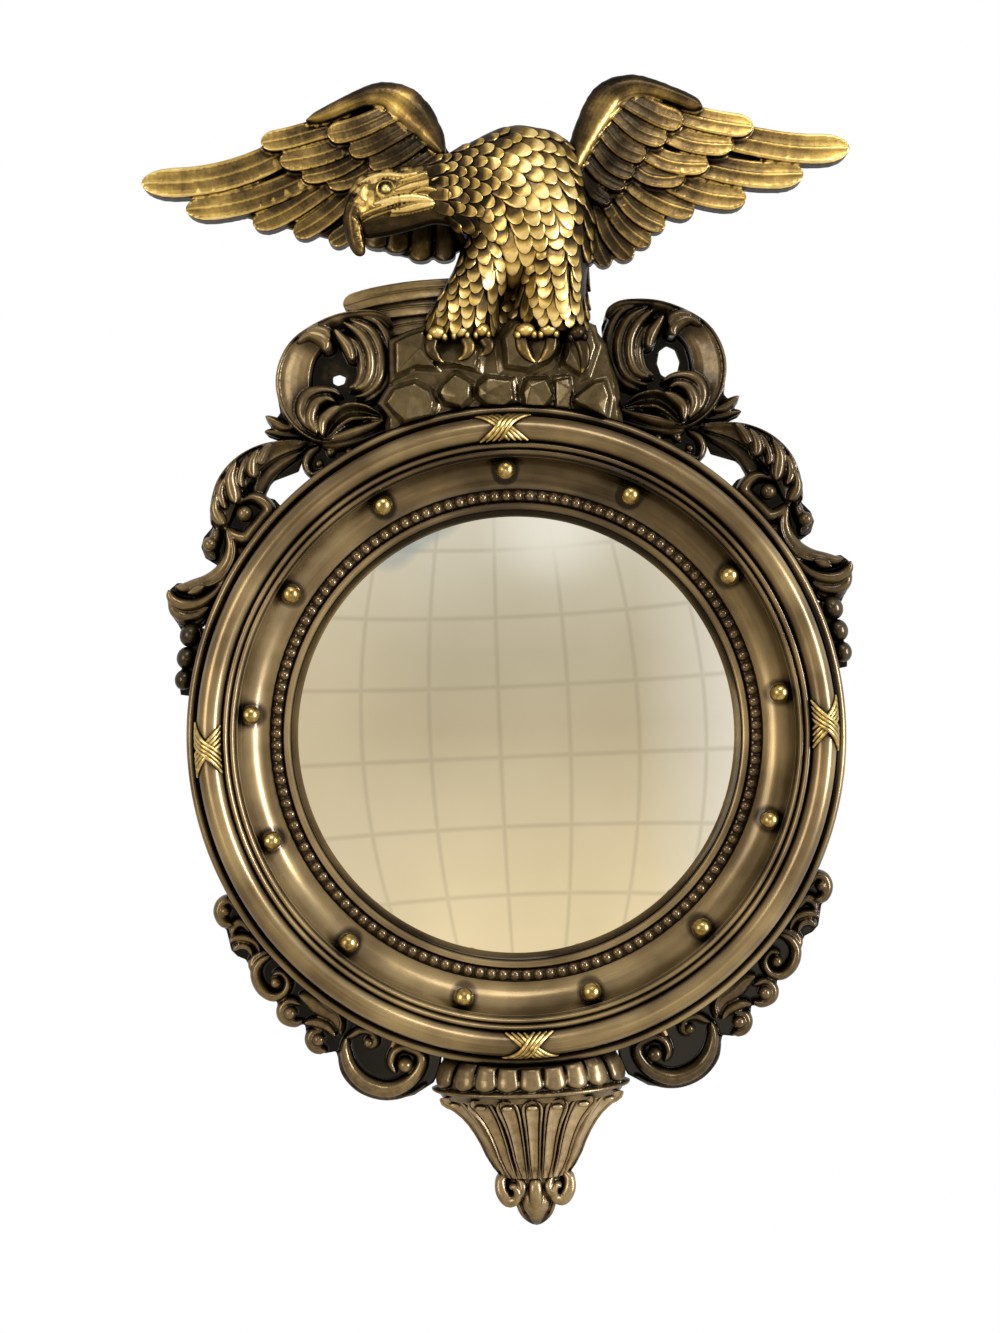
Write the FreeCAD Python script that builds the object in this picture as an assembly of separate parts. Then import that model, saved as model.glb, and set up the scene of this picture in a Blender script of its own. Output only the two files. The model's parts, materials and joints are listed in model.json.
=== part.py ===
"""Federal style convex mirror: a turned ring with an eagle crest, scrolls and a pendant."""
import FreeCAD, Part
import math
import os

# Frame of the model: X to the right, Z up, the wall is the plane Y = 0 and the front looks along -Y.
# The origin is on the axis of the ring, in the wall plane. "out" below is the distance from the wall.

# Turned ring
ring_outer_radius = 183.6
ring_wall_height = 24.0
outer_reed_radius = 2.6
groove_width = 1.6
main_reed_radius = 7.0
main_reed_rise = 9.0
fine_reed_width = 3.6
fine_reed_rise = 2.6
fine_reed_step = 1.9
cove_fillet_width = 1.2
cove_width = 16.0
cove_depth = 18.8
cove_radius = 18.0
bead_groove_width = 7.8
bead_groove_depth = 2.4
sight_fillet_width = 3.8
sight_fillet_rise = 4.2
sight_chamfer = 0.8
lip_thickness = 2.2
lip_width = 7.4

# Back of the frame
bumper_height = 5.0
bumper_radius = 7.0
bumper_angles = (20.0, 160.0, 200.0, 340.0)
seat_gap = 0.25
overrun = 2.0

# Bead strip and cavetto balls
bead_count = 128
bead_rise = 3.2
bead_neck_rise = 1.2
bead_base_thickness = 1.5
ball_count = 13
ball_radius = 5.6
ball_ring_inset = 35.6
ball_sides = 6
stem_radius = 1.6
stem_depth = 6.0
bore_clearance = 0.25
small_round_sides = 6

# Glass, bedding, board and clips
glass_clearance = 1.0
glass_thickness = 2.5
glass_sagitta = 25.0
glass_rings = 2
bedding_gap = 0.3
bedding_margin = 1.4
board_thickness = 3.0
board_clearance = 0.5
board_recess = 0.3
clip_length = 26.0
clip_width = 11.0
clip_thickness = 1.2
clip_screw_radius = 1.7
clip_screw_head_radius = 3.4
clip_screw_head_height = 1.4
clip_screw_length = 9.0
clip_count = 4

# Hangers on the back of the ring
hanger_angle = 58.0
hanger_plate_length = 27.0
hanger_plate_width = 11.0
hanger_plate_thickness = 1.2
hanger_screw_shares = (0.64, 0.86)
hanger_screw_head_radius = 2.6
hanger_screw_radius = 1.4
knuckle_radius = 2.2
knuckle_length = 9.0
hanging_wire_radius = 0.9
hanging_ring_width = 17.0
hanging_ring_height = 14.0
ring_corner_share = 0.55
hanger_pin_clearance = 0.3

# Gilt ties over the large reed
tie_thickness = 1.5
tie_ridge = 0.8
tie_width = 6.4
tie_spread = 22.0
tie_inner_wrap = 54.0
tie_outer_wrap = 82.0
tie_seat = 0.5
tie_stations = 5

# Ornaments round the ring
ornament_ground = 7.0
ornament_joint = 0.3

crest_reach = 66.0
crest_shoulder = 24.0
crest_ridge = 33.0
crest_band_width = 24.0
crest_leaf_width = 15.0
crest_start_angle = 20.5
crest_end_angle = 37.0

side_reach = 38.0
side_shoulder = 17.0
side_ridge = 24.0
side_band_width = 17.0
side_leaf_width = 11.0
side_start_angle = 46.0
side_end_angle = 68.6

lower_reach = 36.0
lower_shoulder = 14.0
lower_ridge = 20.0
lower_band_width = 11.0
lower_start_angle = 117.0
lower_end_angle = 163.4

volute_sides = 7
volute_recess_share = 0.45
curl_sides = 6
drop_bead_radius = 6.0
drop_bead_sides = 6
drop_end_angle = 81.6

# Rocks and eagle
rock_half_width = 65.0
rock_height = 41.0
rock_body_front = 30.0
rock_front = 39.0

eagle_foot_height = 30.0
eagle_width = 76.0
eagle_height = 124.0
eagle_back = 5.0
eagle_depth = 57.0
head_depth = 24.0
head_out_share = 0.78
head_sides = 8
body_sides = 8
thigh_sides = 5
wing_length = 150.0
wing_height = 108.0
wing_base_front = 13.0
wing_layer_rise = 5.0
wing_feather_tilt = 3.0
feather_width = 21.0
covert_width = 17.0
wing_arm_width = 15.0
tail_length = 62.0
tail_feather_width = 13.0
tail_front = 20.0
foot_width = 27.0
toe_length = 19.0
toe_width = 7.4

# Pendant
cup_half_width = 56.0
cup_top_half_width = 43.0
cup_height = 28.0
cup_front = 41.0
cup_lobes = 9
lobe_rise = 2.2
lip_height = 4.0
lip_foot_share = 0.95
bell_top_half_width = 53.0
bell_bottom_half_width = 18.0
bell_height = 41.0
bell_front = 38.0
bell_flutes = 7
flute_depth = 1.8
finial_half_width = 21.0
finial_height = 29.0
finial_front = 24.0
pendant_facets = 2

# Pegs
dowel_radius = 3.0
dowel_length = 26.0
pin_radius = 1.5
pin_length = 16.0

# Full turns are drawn with this many flat sides, discs behind the ring with half as many
turn_sides = 48
disc_sides = turn_sides // 2

# Places that follow from the sizes above
ring_back = bumper_height
reed_foot = ring_back + ring_wall_height
main_reed_centre = ring_outer_radius - 2 * outer_reed_radius - groove_width - main_reed_radius
main_reed_out = reed_foot + main_reed_rise
fine_reed_start = main_reed_centre - main_reed_radius
cove_start = fine_reed_start - 2 * fine_reed_width - cove_fillet_width
cove_end = cove_start - cove_width
bead_groove_inner = cove_end - bead_groove_width
sight_radius = bead_groove_inner - sight_fillet_width
rabbet_radius = sight_radius + lip_width
fine_reed_foot = main_reed_out + fine_reed_step / 2
cove_top = fine_reed_foot - fine_reed_step
cove_floor = cove_top - cove_depth
bead_seat_out = cove_floor - bead_groove_depth
lip_back = bead_seat_out - lip_thickness
ring_front = main_reed_out + main_reed_radius
glass_radius = rabbet_radius - glass_clearance
glass_sphere = (glass_radius ** 2 + glass_sagitta ** 2) / (2 * glass_sagitta)
glass_centre = lip_back - bedding_gap - math.sqrt(glass_sphere ** 2 - sight_radius ** 2)
glass_edge_back = glass_centre + math.sqrt(glass_sphere ** 2 - glass_radius ** 2) - glass_thickness
board_front = glass_edge_back - board_recess
board_back = board_front - board_thickness
ornament_seat = ring_outer_radius + ornament_joint
eagle_base = ring_outer_radius + eagle_foot_height
rock_top = ring_outer_radius + rock_height


def at(x, out, z):
    return FreeCAD.Vector(x, -out, z)


def rim(angle, reach=0.0):
    """X and Z of a point beside the ring, by its angle from the top and its distance from the rim."""
    radius = ring_outer_radius + reach
    turn = math.radians(angle)
    return radius * math.sin(turn), radius * math.cos(turn)


def flat_face(corners):
    return Part.Face(Part.makePolygon(corners + [corners[0]]))


def panel_faces(corners):
    """One face through four corners if they lie in a plane, otherwise two triangles."""
    points = []
    for corner in corners:
        if all((corner - other).Length > 1e-6 for other in points):
            points.append(corner)
    if len(points) < 3:
        return []
    normal = (points[1] - points[0]).cross(points[2] - points[0])
    if len(points) == 3:
        return [flat_face(points)] if normal.Length > 1e-9 else []
    if normal.Length > 1e-9:
        normal.normalize()
        if abs((points[3] - points[0]).dot(normal)) < 1e-7:
            return [flat_face(points)]
    return panel_faces([points[0], points[1], points[2]]) + panel_faces([points[0], points[2], points[3]])


def closed_solid(faces):
    solid = Part.makeSolid(Part.makeShell(faces))
    if solid.Volume < 0:
        solid.reverse()
    return solid


def skin(sections, endless=False):
    """A solid through a row of sections that have equally many corners."""
    faces = []
    count = len(sections[0])
    pairs = list(zip(sections[:-1], sections[1:]))
    if endless:
        pairs.append((sections[-1], sections[0]))
    for first, second in pairs:
        for index in range(count):
            following = (index + 1) % count
            faces += panel_faces([first[index], first[following], second[following], second[index]])
    if not endless:
        for cap in (sections[0], sections[-1]):
            if (cap[1] - cap[0]).Length > 1e-6:
                faces.append(flat_face(cap))
    return closed_solid(faces)


def fuse_all(pieces):
    whole = pieces[0]
    if len(pieces) > 1:
        whole = whole.fuse(pieces[1:])
    return whole.removeSplitter()


def faceted_turning(centre, direction, profile, sides=small_round_sides, phase=0.0):
    """A turned form with flat sides; the profile holds (distance along the axis, radius)."""
    axis = FreeCAD.Vector(direction)
    axis.normalize()
    aside = axis.cross(FreeCAD.Vector(0, 0, 1))
    if aside.Length < 0.1:
        aside = axis.cross(FreeCAD.Vector(1, 0, 0))
    aside.normalize()
    across = axis.cross(aside)
    sections = []
    for along, radius in profile:
        section = []
        for side in range(sides):
            turn = 2 * math.pi * (side + phase) / sides
            section.append(centre + axis * along + (aside * math.cos(turn) + across * math.sin(turn)) * radius)
        sections.append(section)
    return skin(sections)


def rod(start, end, radius):
    return faceted_turning(start, end - start, [(0, radius), ((end - start).Length, radius)])


def ball(centre, direction, radius, sides):
    """A ball of flat facets with its poles on the given direction."""
    profile = []
    bands = sides // 2
    pole_share = 0.2
    for band in range(bands + 1):
        latitude = math.pi * (band / bands - 0.5)
        profile.append((radius * math.sin(latitude), max(radius * math.cos(latitude), radius * pole_share)))
    return faceted_turning(centre, direction, profile, sides)


def turned(corners, sides=turn_sides):
    """A full turn about the axis of the ring of a closed profile of (radius, out) corners."""
    sections = []
    for side in range(sides):
        turn = 2 * math.pi * (side + 0.5) / sides
        sections.append([at(radius * math.sin(turn), out, radius * math.cos(turn)) for radius, out in corners])
    return skin(sections, endless=True)


def slanted_block(outline, back, height_of):
    """An upright block on a flat outline whose top lies in the plane given by height_of(x, z)."""
    low = [at(x, back, z) for x, z in outline]
    high = [at(x, height_of(x, z), z) for x, z in outline]
    faces = [flat_face(low), flat_face(high)]
    for index in range(len(outline)):
        following = (index + 1) % len(outline)
        faces.append(flat_face([low[index], low[following], high[following], high[index]]))
    return closed_solid(faces)


def crowned_strip(stations, back):
    """A band with a ridge; each station is (x, z, half width, edge height, ridge height)."""
    sections = []
    last = len(stations) - 1
    for index, (x, z, half_width, edge, ridge) in enumerate(stations):
        before = stations[max(index - 1, 0)]
        after = stations[min(index + 1, last)]
        run_x, run_z = after[0] - before[0], after[1] - before[1]
        length = math.hypot(run_x, run_z)
        aside_x, aside_z = -run_z / length * half_width, run_x / length * half_width
        sections.append([
            at(x + aside_x, back, z + aside_z),
            at(x - aside_x, back, z - aside_z),
            at(x - aside_x, edge, z - aside_z),
            at(x, ridge, z),
            at(x + aside_x, edge, z + aside_z),
        ])
    return skin(sections)


def rim_strip(rows, reach, width, shoulder, ridge, back=ring_back):
    """A crowned strip placed round the ring; rows hold (angle, reach share, width share, height share)."""
    stations = []
    for angle, reach_share, width_share, height_share in rows:
        x, z = rim(angle, reach * reach_share)
        edge = back + (shoulder - back) * height_share
        top = back + (ridge - back) * height_share
        stations.append((x, z, width * width_share / 2, edge, top))
    return crowned_strip(stations, back)


def volute(angle, reach, radius, shoulder, ridge):
    """A curled end: a rounded rim, a sunk channel and a button in the middle."""
    x, z = rim(angle, reach)
    channel = shoulder - (ridge - shoulder) * volute_recess_share
    rim_share, channel_outer_share, channel_inner_share, button_share = 0.88, 0.7, 0.46, 0.22
    profile = [
        (0, radius),
        (shoulder - ring_back, radius),
        (ridge - ring_back, radius * rim_share),
        (channel - ring_back, radius * channel_outer_share),
        (channel - ring_back, radius * channel_inner_share),
        (ridge - ring_back, radius * button_share),
    ]
    return faceted_turning(at(x, ring_back, z), FreeCAD.Vector(0, -1, 0), profile, volute_sides)


def curl(angle, reach, radius, shoulder, ridge):
    """A small rounded knob at the end of a leaf."""
    x, z = rim(angle, reach)
    profile = [(0, radius), (shoulder - ring_back, radius), (ridge - ring_back, radius / 2)]
    return faceted_turning(at(x, ring_back, z), FreeCAD.Vector(0, -1, 0), profile, curl_sides)


def ground_plate(start, end, reach_shares, reach, front):
    """The thin web behind a row of curls, from the seat on the ring to a wavy outer edge."""
    steps = len(reach_shares) - 1
    outer = [rim(start + (end - start) * i / steps, reach * share) for i, share in enumerate(reach_shares)]
    inner = [rim(angle, -ornament_ground) for angle in (end, (start + end) / 2, start)]
    return slanted_block(outer + inner, ring_back, lambda x, z: front)


def seated(shape):
    """Cut an ornament to the outside of the ring, with the glue joint between them."""
    profile = [(-overrun, ornament_seat), (ring_front + overrun, ornament_seat)]
    cutter = faceted_turning(at(0, 0, 0), FreeCAD.Vector(0, -1, 0), profile, turn_sides, 0.5)
    return shape.cut(cutter)


def largest_solid(shape):
    return max(shape.Solids, key=lambda solid: solid.Volume)


def mirrored(shape):
    return shape.mirror(at(0, 0, 0), FreeCAD.Vector(1, 0, 0))


def arc_points(centre_r, centre_out, radius, start, end, steps):
    """Corners along an arc of the profile; angles in degrees from the outward direction towards the front."""
    points = []
    for step in range(steps + 1):
        turn = math.radians(start + (end - start) * step / steps)
        points.append((centre_r + radius * math.cos(turn), centre_out + radius * math.sin(turn)))
    return points


def small_reed(outer, foot):
    quarter = fine_reed_width / 4
    return [(outer, foot), (outer - quarter, foot + fine_reed_rise),
            (outer - fine_reed_width + quarter, foot + fine_reed_rise), (outer - fine_reed_width, foot)]


def make_ring_profile():
    """Section of the frame from the outer wall over the reeds and the cove to the rabbet, as (radius, out)."""
    reed_turn = 25
    reed_side = main_reed_centre + main_reed_radius * math.cos(math.radians(reed_turn))
    points = [(ring_outer_radius, ring_back), (ring_outer_radius, reed_foot)]
    points += [(ring_outer_radius - outer_reed_radius / 2, reed_foot + outer_reed_radius),
               (ring_outer_radius - 3 * outer_reed_radius / 2, reed_foot + outer_reed_radius),
               (ring_outer_radius - 2 * outer_reed_radius, reed_foot), (reed_side, reed_foot)]
    points += arc_points(main_reed_centre, main_reed_out, main_reed_radius, -reed_turn, 180, 6)
    points += small_reed(fine_reed_start, fine_reed_foot)
    points += small_reed(fine_reed_start - fine_reed_width, fine_reed_foot - fine_reed_step)
    points.append((cove_start, cove_top))
    centre_r, centre_out, surface = cove_out(cove_end)
    first = math.degrees(math.atan2(cove_top - centre_out, cove_start - centre_r))
    last = math.degrees(math.atan2(cove_floor - centre_out, cove_end - centre_r))
    points += arc_points(centre_r, centre_out, cove_radius, first, last, 4)[1:]
    fillet_front = bead_seat_out + sight_fillet_rise
    points += [(cove_end, bead_seat_out), (bead_groove_inner, bead_seat_out), (bead_groove_inner, fillet_front),
               (sight_radius + sight_chamfer, fillet_front), (sight_radius, fillet_front - sight_chamfer),
               (sight_radius, lip_back), (rabbet_radius, lip_back), (rabbet_radius, ring_back)]
    return points


def cove_out(radius):
    """Distance from the wall of the cove's surface at a radius of the ring."""
    half_chord = math.hypot(cove_width, cove_depth) / 2
    rise = math.sqrt(cove_radius ** 2 - half_chord ** 2)
    centre_r = (cove_start + cove_end) / 2 - rise * cove_depth / (2 * half_chord)
    centre_out = (cove_top + cove_floor) / 2 + rise * cove_width / (2 * half_chord)
    return centre_r, centre_out, centre_out - math.sqrt(cove_radius ** 2 - (radius - centre_r) ** 2)


def ball_place():
    """Radius of the ring of balls, the out of a ball's centre and of the cove under it."""
    radius = ring_outer_radius - ball_ring_inset
    centre_r, centre_out, surface = cove_out(radius)
    reach = cove_radius - ball_radius - seat_gap
    return radius, centre_out - math.sqrt(reach ** 2 - (radius - centre_r) ** 2), surface


def around(shape, angle):
    """A copy turned clockwise about the axis of the ring."""
    copy = shape.copy()
    copy.rotate(at(0, 0, 0), FreeCAD.Vector(0, 1, 0), angle)
    return copy


def make_cavetto_ball():
    radius, centre_out, surface = ball_place()
    centre = at(0, centre_out, radius)
    stem = rod(at(0, surface - stem_depth + bore_clearance, radius), centre, stem_radius)
    return ball(centre, FreeCAD.Vector(0, -1, 0), ball_radius, ball_sides).fuse(stem).removeSplitter()


def make_ball_bore():
    radius, centre_out, surface = ball_place()
    return rod(at(0, surface - stem_depth, radius), at(0, centre_out, radius), stem_radius + bore_clearance)


def make_bead_strip():
    """A moulding of beads and necks that lies in its groove between the cove and the sight fillet."""
    outer = cove_end - seat_gap
    inner = bead_groove_inner + seat_gap
    middle = (outer + inner) / 2
    base_front = bead_seat_out + bead_base_thickness
    sections = []
    for index in range(2 * bead_count):
        turn = math.pi * index / bead_count
        front = base_front + (bead_rise if index % 2 == 0 else bead_neck_rise)
        corners = [(outer, bead_seat_out), (middle, front), (inner, bead_seat_out)]
        sections.append([at(radius * math.sin(turn), out, radius * math.cos(turn)) for radius, out in corners])
    return skin(sections, endless=True)


def glass_out(radius, face):
    return glass_centre + math.sqrt(glass_sphere ** 2 - radius ** 2) + face


def make_glass():
    """A convex glass of even thickness; the profile runs from the middle of the front round to the back."""
    profile = []
    for step in range(glass_rings + 1):
        radius = glass_radius * step / glass_rings
        profile.append((glass_out(radius, 0), radius))
    for step in range(glass_rings, -1, -1):
        radius = glass_radius * step / glass_rings
        profile.append((glass_out(radius, -glass_thickness), radius))
    return faceted_turning(at(0, 0, 0), FreeCAD.Vector(0, -1, 0), profile, disc_sides)


def make_bedding():
    outer = glass_radius - bedding_margin
    inner = sight_radius + bedding_margin
    return turned([(inner, lip_back), (outer, lip_back), (outer, glass_out(outer, bedding_gap)),
                   (inner, glass_out(inner, bedding_gap))], disc_sides)


def make_board():
    radius = rabbet_radius - board_clearance
    return faceted_turning(at(0, board_back, 0), FreeCAD.Vector(0, -1, 0),
                           [(0, radius), (board_thickness, radius)], disc_sides)


def clip_places():
    radius = rabbet_radius + clip_length / 4
    return [(radius, 45 + 360 * index / clip_count) for index in range(clip_count)]


def on_ring(radius, angle, out):
    turn = math.radians(angle)
    return at(radius * math.sin(turn), out, radius * math.cos(turn))


def make_clips_and_screws():
    clips, screws, bores = [], [], []
    clip_front = min(ring_back, board_back)
    for radius, angle in clip_places():
        outer, inner = radius + clip_width / 2, radius + clip_width / 2 - clip_length
        half = clip_width / 2
        corner = half / 2
        outline = [(-half, outer), (half, outer), (half, inner + corner), (corner, inner), (-corner, inner),
                   (-half, inner + corner)]
        clip = slanted_block(outline, clip_front - clip_thickness, lambda x, z: clip_front)
        hole = rod(at(0, clip_front - clip_thickness - overrun, radius), at(0, clip_front + overrun, radius),
                   clip_screw_radius + bore_clearance)
        clips.append(around(clip.cut(hole), angle))
        back = clip_front - clip_thickness
        profile = [(-clip_screw_head_height, clip_screw_head_radius / 2), (0, clip_screw_head_radius),
                   (0, clip_screw_radius), (clip_screw_length, clip_screw_radius / 2)]
        screws.append(faceted_turning(on_ring(radius, angle, back), FreeCAD.Vector(0, -1, 0), profile))
        bores.append(faceted_turning(on_ring(radius, angle, ring_back - overrun), FreeCAD.Vector(0, -1, 0),
                     [(0, clip_screw_radius + bore_clearance),
                      (clip_screw_length + overrun, clip_screw_radius + bore_clearance)]))
    return Part.makeCompound(clips), Part.makeCompound(screws), bores


def make_bumpers():
    bumpers = []
    radius = (ring_outer_radius + rabbet_radius) / 2
    for angle in bumper_angles:
        bumpers.append(faceted_turning(on_ring(radius, angle, 0), FreeCAD.Vector(0, -1, 0),
                       [(0, bumper_radius - bumper_height / 4), (bumper_height / 4, bumper_radius),
                        (ring_back, bumper_radius)], volute_sides))
    return Part.makeCompound(bumpers)


def hanger_pivot(side):
    """Centre of the hinge of a hanging ring; the pin lies along X."""
    x, z = rim(hanger_angle, (rabbet_radius - ring_outer_radius) / 2)
    out = ring_back - hanger_plate_thickness - hanging_wire_radius - hanger_pin_clearance
    return side * x, out, z


def make_hanger(side):
    """Strap plate with its knuckle, the D ring, two screws and their bores in the ring."""
    x, out, z = hanger_pivot(side)
    plate_back = ring_back - hanger_plate_thickness
    half = hanger_plate_width / 2
    low = z - hanger_plate_length
    outline = [(x - half, z), (x + half, z), (x + half, low + half / 2), (x + half / 2, low),
               (x - half / 2, low), (x - half, low + half / 2)]
    plate = slanted_block(outline, plate_back, lambda px, pz: ring_back)
    across = FreeCAD.Vector(1, 0, 0)
    knuckle = rod(at(x - knuckle_length / 2, out, z), at(x + knuckle_length / 2, out, z), knuckle_radius)
    pin_hole = Part.makeCylinder(hanging_wire_radius + hanger_pin_clearance, 2 * knuckle_length,
                                 at(x - knuckle_length, out, z), across)
    plate = plate.fuse(knuckle).cut(pin_hole)
    screws, bores = [], []
    for share in hanger_screw_shares:
        place = z - hanger_plate_length * share
        profile = [(-clip_screw_head_height, hanger_screw_head_radius / 2), (0, hanger_screw_head_radius),
                   (0, hanger_screw_radius), (clip_screw_length, hanger_screw_radius / 2)]
        screws.append(faceted_turning(at(x, plate_back, place), FreeCAD.Vector(0, -1, 0), profile))
        bores.append(rod(at(x, plate_back - overrun, place), at(x, plate_back + clip_screw_length + overrun, place),
                         hanger_screw_radius + bore_clearance))
    return plate.cut(bores).removeSplitter(), make_hanging_ring(x, out, z), screws, bores


def make_hanging_ring(x, out, z):
    """A D ring: a straight round pin through the knuckle and a bent bow that hangs below it."""
    half = hanging_ring_width / 2
    low = -hanging_ring_height
    pin = Part.makeCylinder(hanging_wire_radius, hanging_ring_width, at(x - half, out, z), FreeCAD.Vector(1, 0, 0))
    path = [(-half, 0), (-half, low * ring_corner_share), (-half * ring_corner_share, low),
            (half * ring_corner_share, low), (half, low * ring_corner_share), (half, 0)]
    sections = []
    for index, here in enumerate(path):
        before = path[index - 1] if index > 0 else (here[0], here[1] + half)
        after = path[index + 1] if index < len(path) - 1 else (here[0], here[1] + half)
        into = FreeCAD.Vector(here[0] - before[0], 0, here[1] - before[1]).normalize()
        leaving = FreeCAD.Vector(after[0] - here[0], 0, after[1] - here[1]).normalize()
        along = (into + leaving).normalize()
        aside = along.cross(FreeCAD.Vector(0, 1, 0))
        stretch = 1 / math.sqrt((1 + into.dot(leaving)) / 2)
        section = []
        for side in range(small_round_sides):
            turn = 2 * math.pi * side / small_round_sides
            section.append(at(x + here[0], out, z + here[1])
                           + aside * hanging_wire_radius * stretch * math.cos(turn)
                           + FreeCAD.Vector(0, 1, 0) * hanging_wire_radius * math.sin(turn))
        sections.append(section)
    return pin.fuse(skin(sections)).removeSplitter()


def make_tie():
    """Two crossing straps bent over the large reed, one higher than the other."""
    straps = []
    for slope, lift in ((1, 0.0), (-1, tie_ridge / 2)):
        sections = []
        for step in range(tie_stations):
            share = step / (tie_stations - 1) - 0.5
            turn = math.radians(-tie_inner_wrap + (tie_inner_wrap + tie_outer_wrap) * (share + 0.5))
            inner = main_reed_radius + tie_seat
            edge = inner + tie_thickness + lift
            aside = slope * tie_spread * share / 2
            half = tie_width / 2

            def over(offset, height):
                drop = aside ** 2 / (2 * main_reed_centre)
                return at(aside + offset, main_reed_out + height * math.cos(turn),
                          main_reed_centre - drop + height * math.sin(turn))

            sections.append([over(-half, inner), over(half, inner), over(half, edge),
                             over(0, edge + tie_ridge), over(-half, edge)])
        straps.append(skin(sections))
    return fuse_all(straps)


# Crest scroll, right side: angle from the top, shares of reach, of width and of height
crest_band_shares = [(33.5, 0.22, 0.62, 0.72), (33.6, 0.50, 0.80, 0.84), (31.4, 0.76, 0.92, 0.93),
                     (27.6, 0.90, 1.0, 1.0), (23.0, 0.90, 1.08, 1.0), (19.2, 0.72, 1.12, 1.0),
                     (18.3, 0.48, 0.98, 0.95), (20.6, 0.31, 0.60, 0.84), (24.0, 0.29, 0.2, 0.7)]
crest_leaf_shares = [(37.0, 0.42, 0.45, 0.5), (34.6, 0.16, 1.0, 0.7), (30.5, 0.12, 1.25, 0.85),
                     (26.5, 0.13, 1.15, 0.85), (22.6, 0.14, 0.8, 0.78), (19.6, 0.15, 0.2, 0.6)]
crest_back_leaf_shares = [(33.6, 0.38, 0.9, 0.45), (35.6, 0.52, 0.7, 0.5), (36.6, 0.60, 0.2, 0.35)]
crest_ground_shares = [0.10, 0.16, 0.18, 0.2, 0.24, 0.3, 0.36, 0.40, 0.3]


def make_crest_scroll():
    pieces = [
        rim_strip(crest_band_shares, crest_reach, crest_band_width, crest_shoulder, crest_ridge),
        rim_strip(crest_leaf_shares, crest_reach, crest_leaf_width, crest_shoulder, crest_ridge),
        rim_strip(crest_back_leaf_shares, crest_reach, crest_leaf_width, crest_shoulder, crest_ridge),
        volute(34.6, crest_reach * 0.06, crest_leaf_width * 0.42, side_shoulder, side_ridge),
        ground_plate(crest_start_angle, crest_end_angle, crest_ground_shares, crest_reach,
                     ring_back + ornament_ground),
    ]
    return seated(fuse_all(pieces))


# Side scroll, right side
side_arch_shares = [(37.2, 0.80, 0.55, 0.6), (39.8, 0.78, 0.72, 0.8), (43.2, 0.76, 0.95, 1.0),
                    (46.6, 0.72, 1.05, 1.0), (49.6, 0.62, 0.85, 0.95), (52.6, 0.55, 0.6, 0.85),
                    (56.0, 0.53, 0.4, 0.8)]
side_tail_shares = [(50.0, 0.50, 0.7, 0.8), (54.0, 0.26, 0.8, 0.75), (58.0, 0.16, 0.85, 0.7),
                    (61.2, 0.28, 1.0, 0.8), (63.6, 0.50, 1.0, 0.85), (64.8, 0.64, 0.7, 0.8)]
side_foot_shares = [(64.8, 0.66, 0.6, 0.75), (66.0, 0.44, 1.0, 0.75), (67.0, 0.24, 1.0, 0.6),
                    (68.2, 0.12, 0.4, 0.4)]
side_ground_shares = [0.30, 0.42, 0.34, 0.24, 0.22, 0.34, 0.34, 0.26, 0.1]


def make_side_scroll():
    curl_radius = side_leaf_width * 0.46
    pieces = [
        rim_strip(side_arch_shares, side_reach, side_band_width, side_shoulder, side_ridge),
        rim_strip(side_tail_shares, side_reach, side_leaf_width, side_shoulder, side_ridge),
        rim_strip(side_foot_shares, side_reach, side_leaf_width, side_shoulder, side_ridge),
        volute(48.0, side_reach * 0.34, side_band_width * 0.68, side_shoulder, side_ridge),
        curl(56.6, side_reach * 0.53, curl_radius, side_shoulder, side_ridge),
        ground_plate(side_start_angle, side_end_angle, side_ground_shares, side_reach,
                     ring_back + ornament_ground),
    ]
    return seated(fuse_all(pieces))


# Bead drop, right side: angle and size share of each bead
drop_bead_shares = [(70.9, 1.0), (74.6, 0.98), (78.4, 0.94)]
drop_ground_shares = [0.2, 0.27, 0.26, 0.22, 0.08]


def make_bead_drop():
    """Three graduated beads on one thin back, below the side scroll."""
    back = ring_back + ornament_ground / 2
    pieces = []
    for angle, share in drop_bead_shares:
        radius = drop_bead_radius * share
        x, z = rim(angle, radius + ornament_joint)
        profile = [(0, radius * 0.9), (radius * 1.2, radius * 0.9), (radius * 2.2, radius * 0.4)]
        pieces.append(faceted_turning(at(x, back, z), FreeCAD.Vector(0, -1, 0), profile, drop_bead_sides))
    joint_angle = math.degrees(ornament_joint / ring_outer_radius)
    pieces.append(ground_plate(side_end_angle + joint_angle, drop_end_angle, drop_ground_shares, side_reach,
                               ring_back + ornament_ground))
    return seated(fuse_all(pieces))


# Lower scroll, right side
lower_band_shares = [(147.0, 0.38, 0.7, 0.8), (149.4, 0.62, 0.9, 0.9), (152.4, 0.84, 1.0, 1.0),
                     (156.0, 0.92, 1.0, 1.0), (159.6, 0.86, 1.0, 1.0), (162.4, 0.64, 0.9, 0.95)]
lower_leaf_shares = [(136.0, 0.28, 0.5, 0.8), (142.0, 0.30, 1.1, 0.8), (147.6, 0.38, 0.8, 0.8)]
lower_top_shares = [(117.8, 0.16, 0.5, 0.7), (123.0, 0.27, 1.0, 0.8), (129.0, 0.30, 0.8, 0.8)]
lower_curl_shares = [(118.4, 0.24, 0.55), (122.8, 0.34, 0.42), (126.2, 0.42, 0.42), (138.2, 0.50, 0.58),
                     (144.4, 0.66, 0.5), (151.6, 0.23, 0.6)]
lower_volute_shares = [(133.0, 0.28, 0.86), (159.0, 0.36, 1.10)]
lower_ground_shares = [0.1, 0.3, 0.36, 0.44, 0.5, 0.6, 0.62, 0.86, 0.9, 0.9, 0.84, 0.2]


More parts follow.
